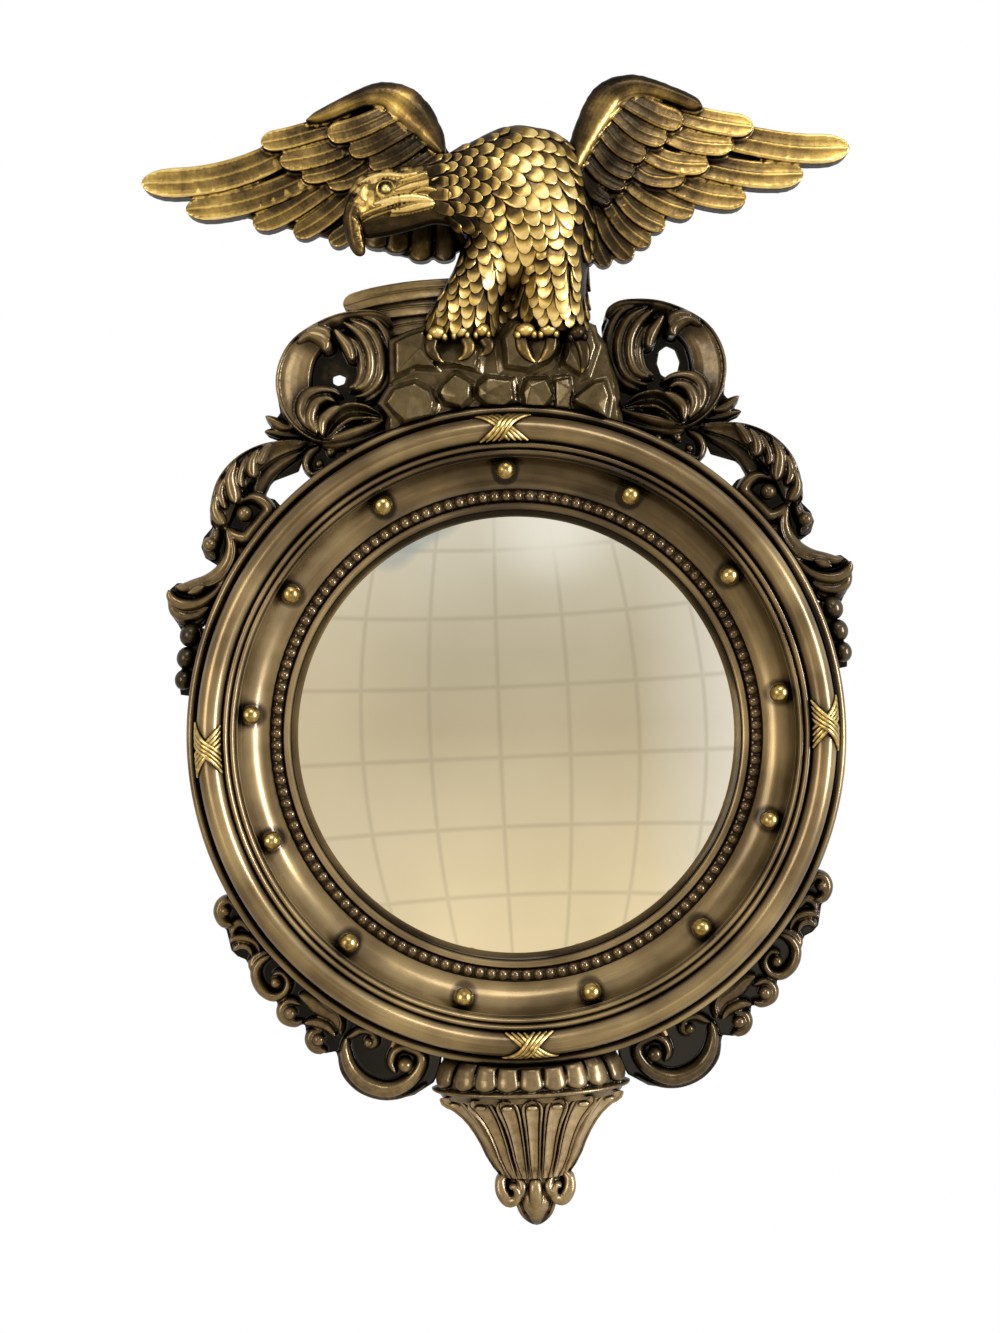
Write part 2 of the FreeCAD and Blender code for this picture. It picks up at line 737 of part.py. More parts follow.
def make_lower_scroll():
    pieces = [
        rim_strip(lower_band_shares, lower_reach, lower_band_width, lower_shoulder, lower_ridge),
        rim_strip(lower_leaf_shares, lower_reach, lower_band_width, lower_shoulder, lower_ridge),
        rim_strip(lower_top_shares, lower_reach, lower_band_width, lower_shoulder, lower_ridge),
        ground_plate(lower_start_angle, lower_end_angle, lower_ground_shares, lower_reach,
                     ring_back + ornament_ground),
    ]
    for angle, reach_share, size_share in lower_volute_shares:
        pieces.append(volute(angle, lower_reach * reach_share, lower_band_width * size_share,
                             lower_shoulder, lower_ridge))
    for angle, reach_share, size_share in lower_curl_shares:
        pieces.append(curl(angle, lower_reach * reach_share, lower_band_width * size_share,
                           lower_shoulder, lower_ridge))
    return seated(fuse_all(pieces))


# Rocks: (across share, up share) corners of the plinth and of each stone's outline
plinth_shares = [(-1.0, 0.0), (-1.0, 0.55), (-0.9, 1.0), (-0.62, 1.06), (-0.2, 0.98), (0.3, 0.98),
                 (0.68, 1.1), (0.86, 1.0), (1.0, 0.62), (1.0, 0.0), (0.5, -0.3), (-0.5, -0.3)]
# Stones: across share, up share, width share, height share, share of the front
stone_shares = [(-0.78, 0.12, 0.37, 0.44, 1.0), (-0.41, 0.26, 0.26, 0.38, 0.96), (-0.05, 0.29, 0.27, 0.32, 0.98),
                (0.31, 0.27, 0.24, 0.34, 0.96), (0.77, 0.16, 0.30, 0.44, 1.0), (-0.72, 0.80, 0.26, 0.38, 0.86),
                (-0.30, 0.80, 0.27, 0.34, 0.84), (0.20, 0.80, 0.27, 0.34, 0.84), (0.66, 0.82, 0.27, 0.40, 0.86)]
stone_sides = (6, 6, 6, 6, 5, 5, 6, 6, 6)
stone_face_share = 0.66
stone_twist_share = 0.3


def rock_point(across_share, up_share):
    return rock_half_width * across_share, ring_outer_radius + rock_height * up_share


def make_rocks():
    outline = [rock_point(*share) for share in plinth_shares]
    pieces = [slanted_block(outline, ring_back, lambda x, z: rock_body_front)]
    for (across, up, width, height, front_share), corners in zip(stone_shares, stone_sides):
        x, z = rock_point(across, up)
        sections = []
        front = rock_front * front_share
        shoulder = (rock_body_front + front) / 2
        for out, share in ((rock_body_front - overrun, 1.0), (shoulder, 1.0), (front, stone_face_share)):
            section = []
            for index in range(corners):
                turn = 2 * math.pi * (index + stone_twist_share) / corners
                section.append(at(x + rock_half_width * width * share * math.cos(turn) / 1.5, out,
                                  z + rock_height * height * share * math.sin(turn) / 1.2))
            sections.append(section)
        pieces.append(skin(sections))
    return seated(fuse_all(pieces))


def half_oval(x, z, half_width, lean, back, front, corners):
    """Corners of a flat-backed oval section across the body, leaning in the plane of the mirror."""
    points = [at(x - half_width * math.cos(lean), back, z - half_width * math.sin(lean))]
    for index in range(corners + 1):
        turn = math.pi * index / corners
        offset = -half_width * math.cos(turn)
        out = back + (front - back) * (0.35 + 0.65 * math.sin(turn))
        points.append(at(x + offset * math.cos(lean), out, z + offset * math.sin(lean)))
    points.append(at(x + half_width * math.cos(lean), back, z + half_width * math.sin(lean)))
    return points


# Body sections: across share, up share, half width share, lean in degrees, depth share
body_shares = [(0.20, 0.995, 0.16, 0, 0.40), (0.19, 0.96, 0.36, 2, 0.62), (0.19, 0.90, 0.45, 3, 0.78),
               (0.21, 0.78, 0.47, 0, 0.94), (0.23, 0.62, 0.48, -2, 1.0), (0.245, 0.46, 0.47, -3, 1.0),
               (0.24, 0.36, 0.45, -3, 0.92), (0.22, 0.29, 0.40, 0, 0.8)]
# Thigh sections: across share, up share, half width share, depth share
left_thigh_shares = [(0.02, 0.47, 0.27, 0.95), (-0.08, 0.35, 0.24, 0.92), (-0.20, 0.24, 0.24, 0.86),
                     (-0.27, 0.11, 0.26, 0.80)]
right_thigh_shares = [(0.44, 0.47, 0.28, 0.95), (0.41, 0.35, 0.27, 0.92), (0.40, 0.24, 0.26, 0.88),
                      (0.40, 0.11, 0.27, 0.82)]
# Corners of the wood left between the thighs, and how far out it stands
web_shares = [(-0.28, 0.11), (-0.16, 0.06), (0.28, 0.06), (0.40, 0.11), (0.44, 0.36), (-0.10, 0.36)]
web_depth_share = 0.38


def eagle_point(across_share, up_share):
    return eagle_width * across_share, eagle_base + eagle_height * up_share


def thigh(shares):
    sections = []
    for across, up, half_share, depth_share in shares:
        x, z = eagle_point(across, up)
        sections.append(half_oval(x, z, eagle_width * half_share, 0, eagle_back,
                                  eagle_back + eagle_depth * depth_share, thigh_sides))
    return skin(sections)


def make_eagle_body():
    sections = []
    for across, up, half_share, lean, depth_share in body_shares:
        x, z = eagle_point(across, up)
        sections.append(half_oval(x, z, eagle_width * half_share, math.radians(lean), eagle_back,
                                  eagle_back + eagle_depth * depth_share, body_sides))
    web = slanted_block([eagle_point(*share) for share in web_shares], eagle_back,
                        lambda x, z: eagle_back + eagle_depth * web_depth_share)
    return fuse_all([skin(sections), thigh(left_thigh_shares), thigh(right_thigh_shares), web])


# Head sections from the neck to the beak: across share, top share, bottom share, half depth share
head_shares = [(0.04, 0.90, 0.42, 0.8), (-0.34, 0.905, 0.58, 1.0), (-0.51, 0.87, 0.545, 1.0),
               (-0.71, 0.85, 0.525, 0.95), (-0.90, 0.81, 0.53, 0.8)]
# Beak sections from the brow down to the point of the hook: front (across, up) and rear (across, up), depth
beak_shares = [(-0.90, 0.81, -0.80, 0.53, 0.78), (-1.00, 0.775, -0.86, 0.53, 0.62),
               (-1.07, 0.70, -0.90, 0.535, 0.5), (-1.125, 0.62, -0.93, 0.53, 0.4),
               (-1.10, 0.555, -0.955, 0.52, 0.3), (-1.03, 0.51, -0.965, 0.495, 0.16)]


def blade_section(front, rear, half_depth):
    """A section of the head between two points of its outline."""
    (front_x, front_z), (rear_x, rear_z) = front, rear
    middle_out = eagle_back + eagle_depth * head_out_share
    section = []
    for index in range(head_sides):
        turn = 2 * math.pi * index / head_sides
        share = (1 - math.cos(turn)) / 2
        section.append(at(front_x + (rear_x - front_x) * share, middle_out + half_depth * math.sin(turn),
                          front_z + (rear_z - front_z) * share))
    return section


def make_eagle_head():
    half = head_depth / 2
    neck = [blade_section(eagle_point(across, top), eagle_point(across, bottom), half * depth_share)
            for across, top, bottom, depth_share in head_shares]
    beak = [blade_section(eagle_point(front_x, front_z), eagle_point(rear_x, rear_z), half * depth_share)
            for front_x, front_z, rear_x, rear_z, depth_share in beak_shares]
    return fuse_all([skin(neck), skin(beak)])


# Wing, right side: every row holds root (along, up) and tip (along, up) as shares of the wing
primary_shares = [(0.40, 0.82, 0.985, 0.57), (0.36, 0.74, 0.82, 0.42), (0.30, 0.66, 0.70, 0.365),
                  (0.24, 0.60, 0.60, 0.315), (0.18, 0.56, 0.42, 0.25), (0.13, 0.54, 0.29, 0.17),
                  (0.08, 0.54, 0.225, 0.09), (0.04, 0.52, 0.15, 0.035), (0.02, 0.50, 0.06, 0.05)]
middle_shares = [(0.34, 0.84, 0.69, 0.70), (0.30, 0.80, 0.60, 0.585), (0.24, 0.74, 0.48, 0.53),
                 (0.18, 0.70, 0.36, 0.48), (0.12, 0.66, 0.26, 0.42), (0.06, 0.62, 0.15, 0.34)]
small_shares = [(0.30, 0.90, 0.48, 0.80), (0.24, 0.86, 0.38, 0.735), (0.18, 0.80, 0.28, 0.66),
                (0.12, 0.74, 0.19, 0.60)]
wing_arm_shares = [(-0.03, 0.56, 1.1, 0.8), (0.04, 0.72, 1.1, 1.0), (0.12, 0.86, 1.0, 1.0),
                   (0.22, 0.93, 0.9, 1.0), (0.32, 0.90, 0.7, 0.9), (0.42, 0.82, 0.45, 0.8)]
wing_base_shares = [(-0.04, 0.5), (0.02, 0.74), (0.12, 0.92), (0.2, 0.97), (0.3, 0.96), (0.46, 0.84),
                    (0.7, 0.70), (0.9, 0.64), (0.62, 0.46), (0.4, 0.36), (0.2, 0.2), (0.04, 0.1), (-0.04, 0.16)]
wing_root_share = 0.62
wing_foot_share = 0.35
arm_edge_share = 2.6
arm_ridge_share = 3.4


# Outline of a feather: run along it, and side as a share of its width
feather_blade_shares = [(0.0, 0.36), (0.66, 0.5), (0.93, 0.36), (1.0, 0.0), (0.93, -0.36), (0.66, -0.5),
                        (0.0, -0.36)]


def feather_outline(root, tip, width):
    """A long blade with straight sides and a rounded tip."""
    run_x, run_z = tip[0] - root[0], tip[1] - root[1]
    length = math.hypot(run_x, run_z)
    along_x, along_z = run_x / length, run_z / length
    return [(root[0] + along_x * length * run - along_z * width * side,
             root[1] + along_z * length * run + along_x * width * side) for run, side in feather_blade_shares]


def feather(root, tip, width, back, front, tilt):
    """One feather as a block whose face tilts across its width, so that neighbours overlap."""
    run_x, run_z = tip[0] - root[0], tip[1] - root[1]
    length = math.hypot(run_x, run_z)

    def height(x, z):
        aside = ((x - root[0]) * -run_z + (z - root[1]) * run_x) / length
        return front + tilt * aside / width

    return slanted_block(feather_outline(root, tip, width), back, height)


def wing_point(along_share, up_share):
    x, z = eagle_point(wing_root_share, wing_foot_share)
    return x + wing_length * along_share, z + wing_height * up_share


def make_wing():
    pieces = [slanted_block([wing_point(*share) for share in wing_base_shares], eagle_back,
                            lambda x, z: wing_base_front)]
    layers = [(primary_shares, feather_width, 1), (middle_shares, covert_width, 2), (small_shares, covert_width, 3)]
    for rows, width, level in layers:
        front = wing_base_front + wing_layer_rise * (level - 0.5)
        for root_along, root_up, tip_along, tip_up in rows:
            pieces.append(feather(wing_point(root_along, root_up), wing_point(tip_along, tip_up), width,
                                  eagle_back, front, wing_feather_tilt))
    stations = []
    arm_edge = wing_base_front + wing_layer_rise * arm_edge_share
    arm_ridge = wing_base_front + wing_layer_rise * arm_ridge_share
    for along, up, width_share, height_share in wing_arm_shares:
        x, z = wing_point(along, up)
        stations.append((x, z, wing_arm_width * width_share / 2, arm_edge * height_share,
                         arm_ridge * height_share))
    pieces.append(crowned_strip(stations, eagle_back))
    return fuse_all(pieces)


# Tail feathers, to the left: root and tip as (along share, up share) of the tail's length
tail_shares = [(0.0, 0.02, 1.0, -0.02), (0.02, -0.16, 0.95, -0.20), (0.04, -0.32, 0.84, -0.36),
               (0.06, -0.46, 0.66, -0.50)]
tail_root_share = (-0.32, 0.31)


def make_tail():
    root_x, root_z = eagle_point(*tail_root_share)
    pieces = []
    for level, (root_along, root_up, tip_along, tip_up) in enumerate(tail_shares):
        root = (root_x - tail_length * root_along, root_z + tail_length * root_up)
        tip = (root_x - tail_length * tip_along, root_z + tail_length * tip_up)
        pieces.append(feather(root, tip, tail_feather_width, eagle_back,
                              tail_front - level * wing_feather_tilt / 2, -wing_feather_tilt))
    return fuse_all(pieces)


# Feet: across share of each, and the up share of both
left_foot_share, right_foot_share, foot_up_share = -0.29, 0.40, 0.08
toe_place_shares = (-0.34, 0.0, 0.34)
toe_lean_share = 0.2
# A toe from knuckle to claw: run, width and rise shares
toe_shares = [(0.0, 0.8, 0.6), (0.3, 1.0, 1.2), (0.55, 0.6, 0.95), (0.8, 0.42, 0.7), (1.0, 0.08, 0.2)]
toe_depth_share = 0.9


def make_foot(across_share):
    """Three toes over the rock, each with a knuckle and a pointed talon."""
    x, z = eagle_point(across_share, foot_up_share)
    out = rock_front + ornament_joint
    pieces = [slanted_block([(x - foot_width / 2, z), (x - foot_width / 3, z + toe_width),
                             (x + foot_width / 3, z + toe_width), (x + foot_width / 2, z),
                             (x + foot_width / 3, z - toe_width / 2), (x - foot_width / 3, z - toe_width / 2)],
                            out, lambda px, pz: out + toe_width)]
    for share in toe_place_shares:
        toe_x = x + foot_width * share
        lean = foot_width * share * toe_lean_share
        sections = []
        for run, size, rise in toe_shares:
            middle = at(toe_x + lean * run, out + toe_width * rise, z - toe_length * run)
            half = toe_width * size / 2
            thick = min(half, toe_width * rise * toe_depth_share)
            sections.append([middle + FreeCAD.Vector(-half, 0, 0), middle + FreeCAD.Vector(0, -thick, 0),
                             middle + FreeCAD.Vector(half, 0, 0), middle + FreeCAD.Vector(0, thick, 0)])
        pieces.append(skin(sections))
    return fuse_all(pieces)


def lobed_sections(levels, lobes, depth):
    """Half-round sections for the pendant: rows of (z, half width, front), with lobes round the front."""
    sections = []
    steps = lobes * pendant_facets
    for z, half_width, front, depth_share in levels:
        section = [at(-half_width, ring_back, z)]
        for step in range(steps + 1):
            turn = math.pi * step / steps
            wave = abs(math.sin(lobes * turn)) ** 0.7 - 1
            scale = 1 + wave * depth * depth_share / half_width
            section.append(at(-half_width * scale * math.cos(turn), ring_back + seat_gap
                              + (front - ring_back) * scale * math.sin(turn), z))
        section.append(at(half_width, ring_back, z))
        sections.append(section)
    return sections


def cup_top():
    return -ring_outer_radius + cup_height / 3


def lip_top():
    return cup_top() - cup_height + lip_height


def bell_top():
    return lip_top() - lip_height - seat_gap


# Levels of the cup and of the bell: height, width, front and depth of the lobes, all as shares
cup_shares = [(1.0, 0.0, 0.80, 0.6), (0.60, 0.32, 0.92, 1.0), (0.22, 0.70, 1.0, 1.0), (0.0, 0.74, 0.92, 0.6)]
bell_shares = [(0.0, 1.0, 1.0, 0.4), (0.07, 0.97, 0.98, 1.0), (0.20, 0.70, 0.80, 1.0), (0.42, 0.38, 0.62, 1.0),
               (0.72, 0.14, 0.50, 1.0), (1.0, 0.0, 0.44, 0.5)]


def make_cup():
    top = cup_top()
    bottom = lip_top()
    levels = []
    for up, wide, front_share, depth_share in cup_shares:
        half = cup_top_half_width + (cup_half_width - cup_top_half_width) * wide
        levels.append((bottom + (top - bottom) * up, half, cup_front * front_share, depth_share))
    bowl = skin(lobed_sections(levels, cup_lobes, lobe_rise))
    lip_rows = [(bottom, cup_half_width, cup_front, 0),
                (bottom - lip_height, cup_half_width * lip_foot_share, cup_front * lip_foot_share, 0)]
    lip = skin(lobed_sections(lip_rows, cup_lobes, lobe_rise))
    return seated(fuse_all([bowl, lip]))


def make_bell():
    levels = []
    for down, wide, front_share, depth_share in bell_shares:
        half = bell_bottom_half_width + (bell_top_half_width - bell_bottom_half_width) * wide
        levels.append((bell_top() - bell_height * down, half, bell_front * front_share, depth_share))
    return skin(lobed_sections(levels, bell_flutes, flute_depth))


# Levels of the bud: down, width and front shares; corners across it: width and front shares
bud_shares = [(0.0, 0.72, 0.8), (0.3, 0.62, 0.86), (0.6, 0.60, 0.8), (0.8, 0.42, 0.6), (1.0, 0.04, 0.2)]
bud_corner_shares = [(-1.0, 0.0), (-0.8, 0.7), (-0.3, 1.0), (0.3, 1.0), (0.8, 0.7), (1.0, 0.0)]
# Curled leaves: across and forward shares of each, then radius, pole and drop shares of them all
leaf_curl_shares = [(0.7, 0.5), (0.3, 0.9)]
leaf_radius_share, leaf_pole_share, leaf_drop_share = 0.3, 0.4, 0.36


def make_finial():
    """Four curled leaves round a pointed bud."""
    top = bell_top() - bell_height - seat_gap
    sections = []
    for down, wide, front_share in bud_shares:
        half = finial_half_width * wide
        rise = (finial_front - ring_back) * front_share
        z = top - finial_height * down
        sections.append([at(half * across, ring_back + rise * forward, z) for across, forward in bud_corner_shares])
    pieces = [skin(sections)]
    curl_radius = finial_half_width * leaf_radius_share
    pole_radius = curl_radius * leaf_pole_share
    for side in (-1, 1):
        for across, forward in leaf_curl_shares:
            centre = at(side * finial_half_width * across, finial_front * forward,
                        top - finial_height * leaf_drop_share)
            turn = FreeCAD.Vector(side * across, -forward, 0)
            profile = [(-curl_radius, pole_radius), (0, curl_radius), (curl_radius, pole_radius)]
            pieces.append(faceted_turning(centre, turn, profile, curl_sides))
    return fuse_all(pieces)


def peg(start, end, radius):
    """A peg and the slightly larger bore that takes it."""
    spare = (end - start).normalize() * bore_clearance
    return rod(start, end, radius), rod(start - spare, end + spare, radius + bore_clearance)


def rim_peg(angle, out, length, radius):
    """A peg that lies radially across the outer wall of the ring."""
    inner_x, inner_z = rim(angle, -length * 0.6)
    outer_x, outer_z = rim(angle, length * 0.4)
    return peg(at(inner_x, out, inner_z), at(outer_x, out, outer_z), radius)


def level_peg(share, out, radius):
    """A peg across the eagle, centred on an across and up share of it."""
    x, z = eagle_point(*share)
    return peg(at(x - dowel_length / 2, out, z), at(x + dowel_length / 2, out, z), radius)


# Where the pegs go
crest_dowel_angles = (-9.0, 9.0)
scroll_pin_angles = (28.0, 54.0, 74.6, 126.0, 156.0)
wing_dowel_shares = [(-0.36, 0.72), (0.64, 0.72)]
wing_dowel_size_share = 0.6
neck_dowel_share = (-0.22, 0.71)


def make_pegs():
    """Pegs by node, and the bores to cut from what they join."""
    crest = [rim_peg(angle, rock_body_front / 2, dowel_length, dowel_radius) for angle in crest_dowel_angles]
    scroll_out = ring_back + ornament_ground / 2
    scroll = [rim_peg(side * angle, scroll_out, pin_length, pin_radius)
              for side in (-1, 1) for angle in scroll_pin_angles]
    pendant_out = ring_back + ornament_ground
    pendant_top = at(0, pendant_out, -ring_outer_radius + dowel_length / 2)
    pendant_low = at(0, pendant_out, bell_top() - bell_height - finial_height / 3)
    pendant = [peg(pendant_top, pendant_low, dowel_radius)]
    wing = [level_peg(share, (eagle_back + wing_base_front) / 2, dowel_radius * wing_dowel_size_share)
            for share in wing_dowel_shares]
    neck = [level_peg(neck_dowel_share, eagle_back + eagle_depth * head_out_share, dowel_radius)]
    return {"crest_dowels": crest, "scroll_pins": scroll, "pendant_dowel": pendant, "wing_dowels": wing,
            "neck_dowel": neck}


def export(name, shape):
    solids = shape.Solids
    for solid in solids:
        if not solid.isValid():
            print("not valid:", name)
    result = solids[0] if len(solids) == 1 else Part.makeCompound(solids)
    result.exportStep("parts/" + name + ".step")
    box = result.BoundBox
    print(name, len(solids), "solids, volume %.0f" % result.Volume,
          "box %.1f %.1f %.1f to %.1f %.1f %.1f" % (box.XMin, box.YMin, box.ZMin, box.XMax, box.YMax, box.ZMax))


def main():
    os.makedirs("parts", exist_ok=True)
    pegs = make_pegs()
    bores = {name: [bore for solid, bore in pairs] for name, pairs in pegs.items()}
    clips, clip_screws, ring_cutters = make_clips_and_screws()
    ring_cutters += [around(make_ball_bore(), 360 * index / ball_count) for index in range(ball_count)]
    plates, rings, hanger_screws = [], [], []
    for side in (-1, 1):
        plate, hanging_ring, screws, screw_bores = make_hanger(side)
        plates.append(plate)
        rings.append(hanging_ring)
        hanger_screws += screws
        ring_cutters += screw_bores
    ring_cutters += bores["crest_dowels"] + bores["scroll_pins"] + bores["pendant_dowel"]

    body = make_eagle_body()
    rocks = make_rocks().cut(body)
    wing = make_wing()
    crest_scroll = make_crest_scroll().cut(rocks).cut(mirrored(rocks))
    side_scroll = make_side_scroll().cut(crest_scroll)
    bead_drop = make_bead_drop()
    lower_scroll = make_lower_scroll()
    scroll_bores = bores["scroll_pins"]
    body_bores = bores["wing_dowels"] + bores["neck_dowel"]

    nodes = {
        "frame_ring": turned(make_ring_profile()).cut(ring_cutters),
        "bead_strip": make_bead_strip(),
        "mirror_glass": make_glass(),
        "glass_bedding": make_bedding(),
        "backing_board": make_board(),
        "retaining_clips": clips,
        "clip_screws": clip_screws,
        "wall_bumpers": make_bumpers(),
        "hanger_plate_left": plates[0],
        "hanger_plate_right": plates[1],
        "hanging_ring_left": rings[0],
        "hanging_ring_right": rings[1],
        "hanger_screws": Part.makeCompound(hanger_screws),
        "rock_plinth": rocks.cut(bores["crest_dowels"]),
        "eagle_body": body.cut(body_bores),
        "eagle_head": make_eagle_head().cut(body).cut(bores["neck_dowel"]),
        "left_wing": mirrored(wing).cut(body).cut(bores["wing_dowels"]),
        "right_wing": wing.cut(body).cut(bores["wing_dowels"]),
        "eagle_tail": largest_solid(make_tail().cut(body).cut(rocks).cut(mirrored(crest_scroll))),
        "left_foot": make_foot(left_foot_share).cut(body),
        "right_foot": make_foot(right_foot_share).cut(body),
        "crest_scroll_right": crest_scroll.cut(scroll_bores),
        "crest_scroll_left": mirrored(crest_scroll).cut(scroll_bores),
        "side_scroll_right": side_scroll.cut(scroll_bores),
        "side_scroll_left": mirrored(side_scroll).cut(scroll_bores),
        "bead_drop_right": bead_drop.cut(scroll_bores),
        "bead_drop_left": mirrored(bead_drop).cut(scroll_bores),
        "lower_scroll_right": lower_scroll.cut(scroll_bores),
        "lower_scroll_left": mirrored(lower_scroll).cut(scroll_bores),
        "gadroon_cup": make_cup().cut(bores["pendant_dowel"]),
        "fluted_bell": make_bell().cut(bores["pendant_dowel"]),
        "finial": make_finial().cut(bores["pendant_dowel"]),
    }
    for name, pairs in pegs.items():
        nodes[name] = Part.makeCompound([solid for solid, bore in pairs])
    tie = make_tie()
    for index, side_name in enumerate(("top", "right", "bottom", "left")):
        nodes["tie_" + side_name] = around(tie, 90 * index)
    cavetto_ball = make_cavetto_ball()
    for index in range(ball_count):
        nodes["cavetto_ball_%02d" % (index + 1)] = around(cavetto_ball, 360 * index / ball_count)
    for name, shape in nodes.items():
        export(name, shape)


main()
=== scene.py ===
"""Federal style convex mirror: turned ring, cavetto balls, carved eagle crest, scrolls and pendant."""
import json
import math

import bpy
from mathutils import Matrix, Vector, noise
from mathutils.bvhtree import BVHTree
from mathutils.geometry import tessellate_polygon
from mathutils.kdtree import KDTree


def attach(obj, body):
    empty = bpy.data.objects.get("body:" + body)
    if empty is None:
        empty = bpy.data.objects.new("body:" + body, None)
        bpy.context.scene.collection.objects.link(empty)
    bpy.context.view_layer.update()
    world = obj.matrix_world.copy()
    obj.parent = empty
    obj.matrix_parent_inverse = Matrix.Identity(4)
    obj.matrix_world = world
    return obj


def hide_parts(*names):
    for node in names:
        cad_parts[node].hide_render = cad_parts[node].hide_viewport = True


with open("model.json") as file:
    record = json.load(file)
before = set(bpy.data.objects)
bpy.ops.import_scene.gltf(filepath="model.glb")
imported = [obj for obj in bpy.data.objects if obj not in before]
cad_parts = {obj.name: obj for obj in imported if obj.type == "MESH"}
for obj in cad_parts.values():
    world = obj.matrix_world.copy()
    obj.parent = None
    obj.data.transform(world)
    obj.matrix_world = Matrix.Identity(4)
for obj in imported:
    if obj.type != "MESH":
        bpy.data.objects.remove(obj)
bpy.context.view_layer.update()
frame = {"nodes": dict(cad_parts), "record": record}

nodes = frame["nodes"]

# Sizes in millimetres, as the source of the part has them. The wall is y 0 and "out" points away from it.
MM = 0.001
RING_OUTER = 183.6
RING_BACK = 5.0
REED_FOOT = 29.0
REED_RADIUS, REED_CENTRE, REED_OUT = 7.0, 169.8, 38.0
COVE_RADIUS, COVE_CENTRE, COVE_OUT = 18.0, 136.42, 36.14
BEAD_CIRCLE, BEAD_COUNT, BEAD_RADIUS, BEAD_SEAT = 134.5, 128, 3.05, 15.85
SIGHT_RADIUS, LIP_BACK, RABBET = 126.8, 13.65, 134.2
GLASS_RADIUS, GLASS_SPHERE, GLASS_CENTRE, GLASS_THICK = 133.2, 367.3, -331.37, 2.5
BALL_RADIUS, BALL_CIRCLE, BALL_OUT, BALL_COUNT = 5.6, 148.0, 32.46, 13
TURN_STEPS = 256
WING_BACK = 5.0
# Carving beside the ring keeps this distance from its axis
SEAT = RING_OUTER + 0.2
# Ties: radius of a cord and its places across a strap; run of a strap aside, where the two cross, and lift of the upper
CORD_RADIUS, CORD_PLACES = 1.12, (-4.2, -1.4, 1.4, 4.2)
TIE_RUN, TIE_CROSSING, TIE_LIFT = 17.5, 0.45, 1.9
FEATHER_STEPS, LINE_STEPS, ARM_STEPS = 9, 40, 44
OUTWARD = Vector((0, -1, 0))


def place(x, z, out):
    """A point of the model in metres from millimetres across, up and out from the wall."""
    return Vector((x * MM, -out * MM, z * MM))


def on_ring(radius, angle, out):
    """A point round the ring, by its angle in degrees clockwise from the top."""
    turn = math.radians(angle)
    return place(radius * math.sin(turn), radius * math.cos(turn), out)


def clamped(value):
    """A number held between 0 and 1."""
    return min(max(value, 0.0), 1.0)


# Finishes

def linear(code):
    """Linear RGBA of an sRGB hex colour."""
    values = [int(code[i:i + 2], 16) / 255 for i in (1, 3, 5)]
    return tuple([v / 12.92 if v <= 0.04045 else ((v + 0.055) / 1.055) ** 2.4 for v in values] + [1.0])


def add_node(tree, kind, settings=None, inputs=None, links=None):
    """A node with its properties, socket values and incoming links."""
    made = tree.nodes.new(kind)
    for key, value in (settings or {}).items():
        setattr(made, key, value)
    for key, value in (inputs or {}).items():
        made.inputs[key].default_value = value
    for key, source in (links or {}).items():
        tree.links.new(source, made.inputs[key])
    return made


def new_material(name, **shader):
    """A material with its tree and shader; socket names are written with underscores."""
    material = bpy.data.materials.new(name)
    material.use_nodes = True
    tree = material.node_tree
    bsdf = tree.nodes["Principled BSDF"]
    for key, value in shader.items():
        bsdf.inputs[key.replace("_", " ")].default_value = value
    return material, tree, bsdf


def ramp(tree, source, stops):
    """A colour ramp on a value; stops are (position, hex colour)."""
    made = add_node(tree, "ShaderNodeValToRGB", links={"Fac": source})
    band = made.color_ramp
    while len(band.elements) < len(stops):
        band.elements.new(0.5)
    for element, (position, code) in zip(band.elements, stops):
        element.position = position
        element.color = linear(code)
    return made.outputs["Color"]


def spread(tree, source, low, high, to_low=0.0, to_high=1.0):
    """A value stretched from one range to another and held inside it."""
    made = add_node(tree, "ShaderNodeMapRange", inputs={"From Min": low, "From Max": high,
                    "To Min": to_low, "To Max": to_high}, links={"Value": source})
    return made.outputs["Result"]


def grain(tree, vector, scale, detail=4.0, rough=0.55):
    """A noise value from 0 to 1."""
    made = add_node(tree, "ShaderNodeTexNoise", inputs={"Scale": scale, "Detail": detail, "Roughness": rough},
                    links={"Vector": vector})
    return made.outputs["Fac"]


def arithmetic(tree, operation, first, second=0.0):
    """One step of arithmetic on values or numbers."""
    made = add_node(tree, "ShaderNodeMath", {"operation": operation})
    for socket, value in zip(made.inputs, (first, second)):
        if isinstance(value, (int, float)):
            socket.default_value = value
        else:
            tree.links.new(value, socket)
    return made.outputs[0]


def added(tree, first, *others):
    """The sum of several values."""
    for other in others:
        first = arithmetic(tree, "ADD", first, other)
    return first


def product(tree, first, second):
    return arithmetic(tree, "MULTIPLY", first, second)


def hypotenuse(tree, first, second):
    squares = added(tree, product(tree, first, first), product(tree, second, second))
    return arithmetic(tree, "SQRT", squares)


def one_colour(tree, code):
    """The same colour everywhere."""
    made = add_node(tree, "ShaderNodeRGB")
    made.outputs[0].default_value = linear(code)
    return made.outputs[0]


def blend_colours(tree, factor, first, second):
    """From the first colour to the second as the factor goes from 0 to 1."""
    made = add_node(tree, "ShaderNodeMix", {"data_type": "RGBA"}, links={"Factor": factor})
    tree.links.new(first, made.inputs[6])
    tree.links.new(second, made.inputs[7])
    return made.outputs[2]


def bump(tree, bsdf, height, distance, strength=1.0):
    """Fine relief, its distance in millimetres."""
    made = add_node(tree, "ShaderNodeBump", inputs={"Strength": strength, "Distance": distance * MM},
                    links={"Height": height})
    tree.links.new(made.outputs["Normal"], bsdf.inputs["Normal"])


def object_coords(tree):
    return add_node(tree, "ShaderNodeTexCoord").outputs["Object"]


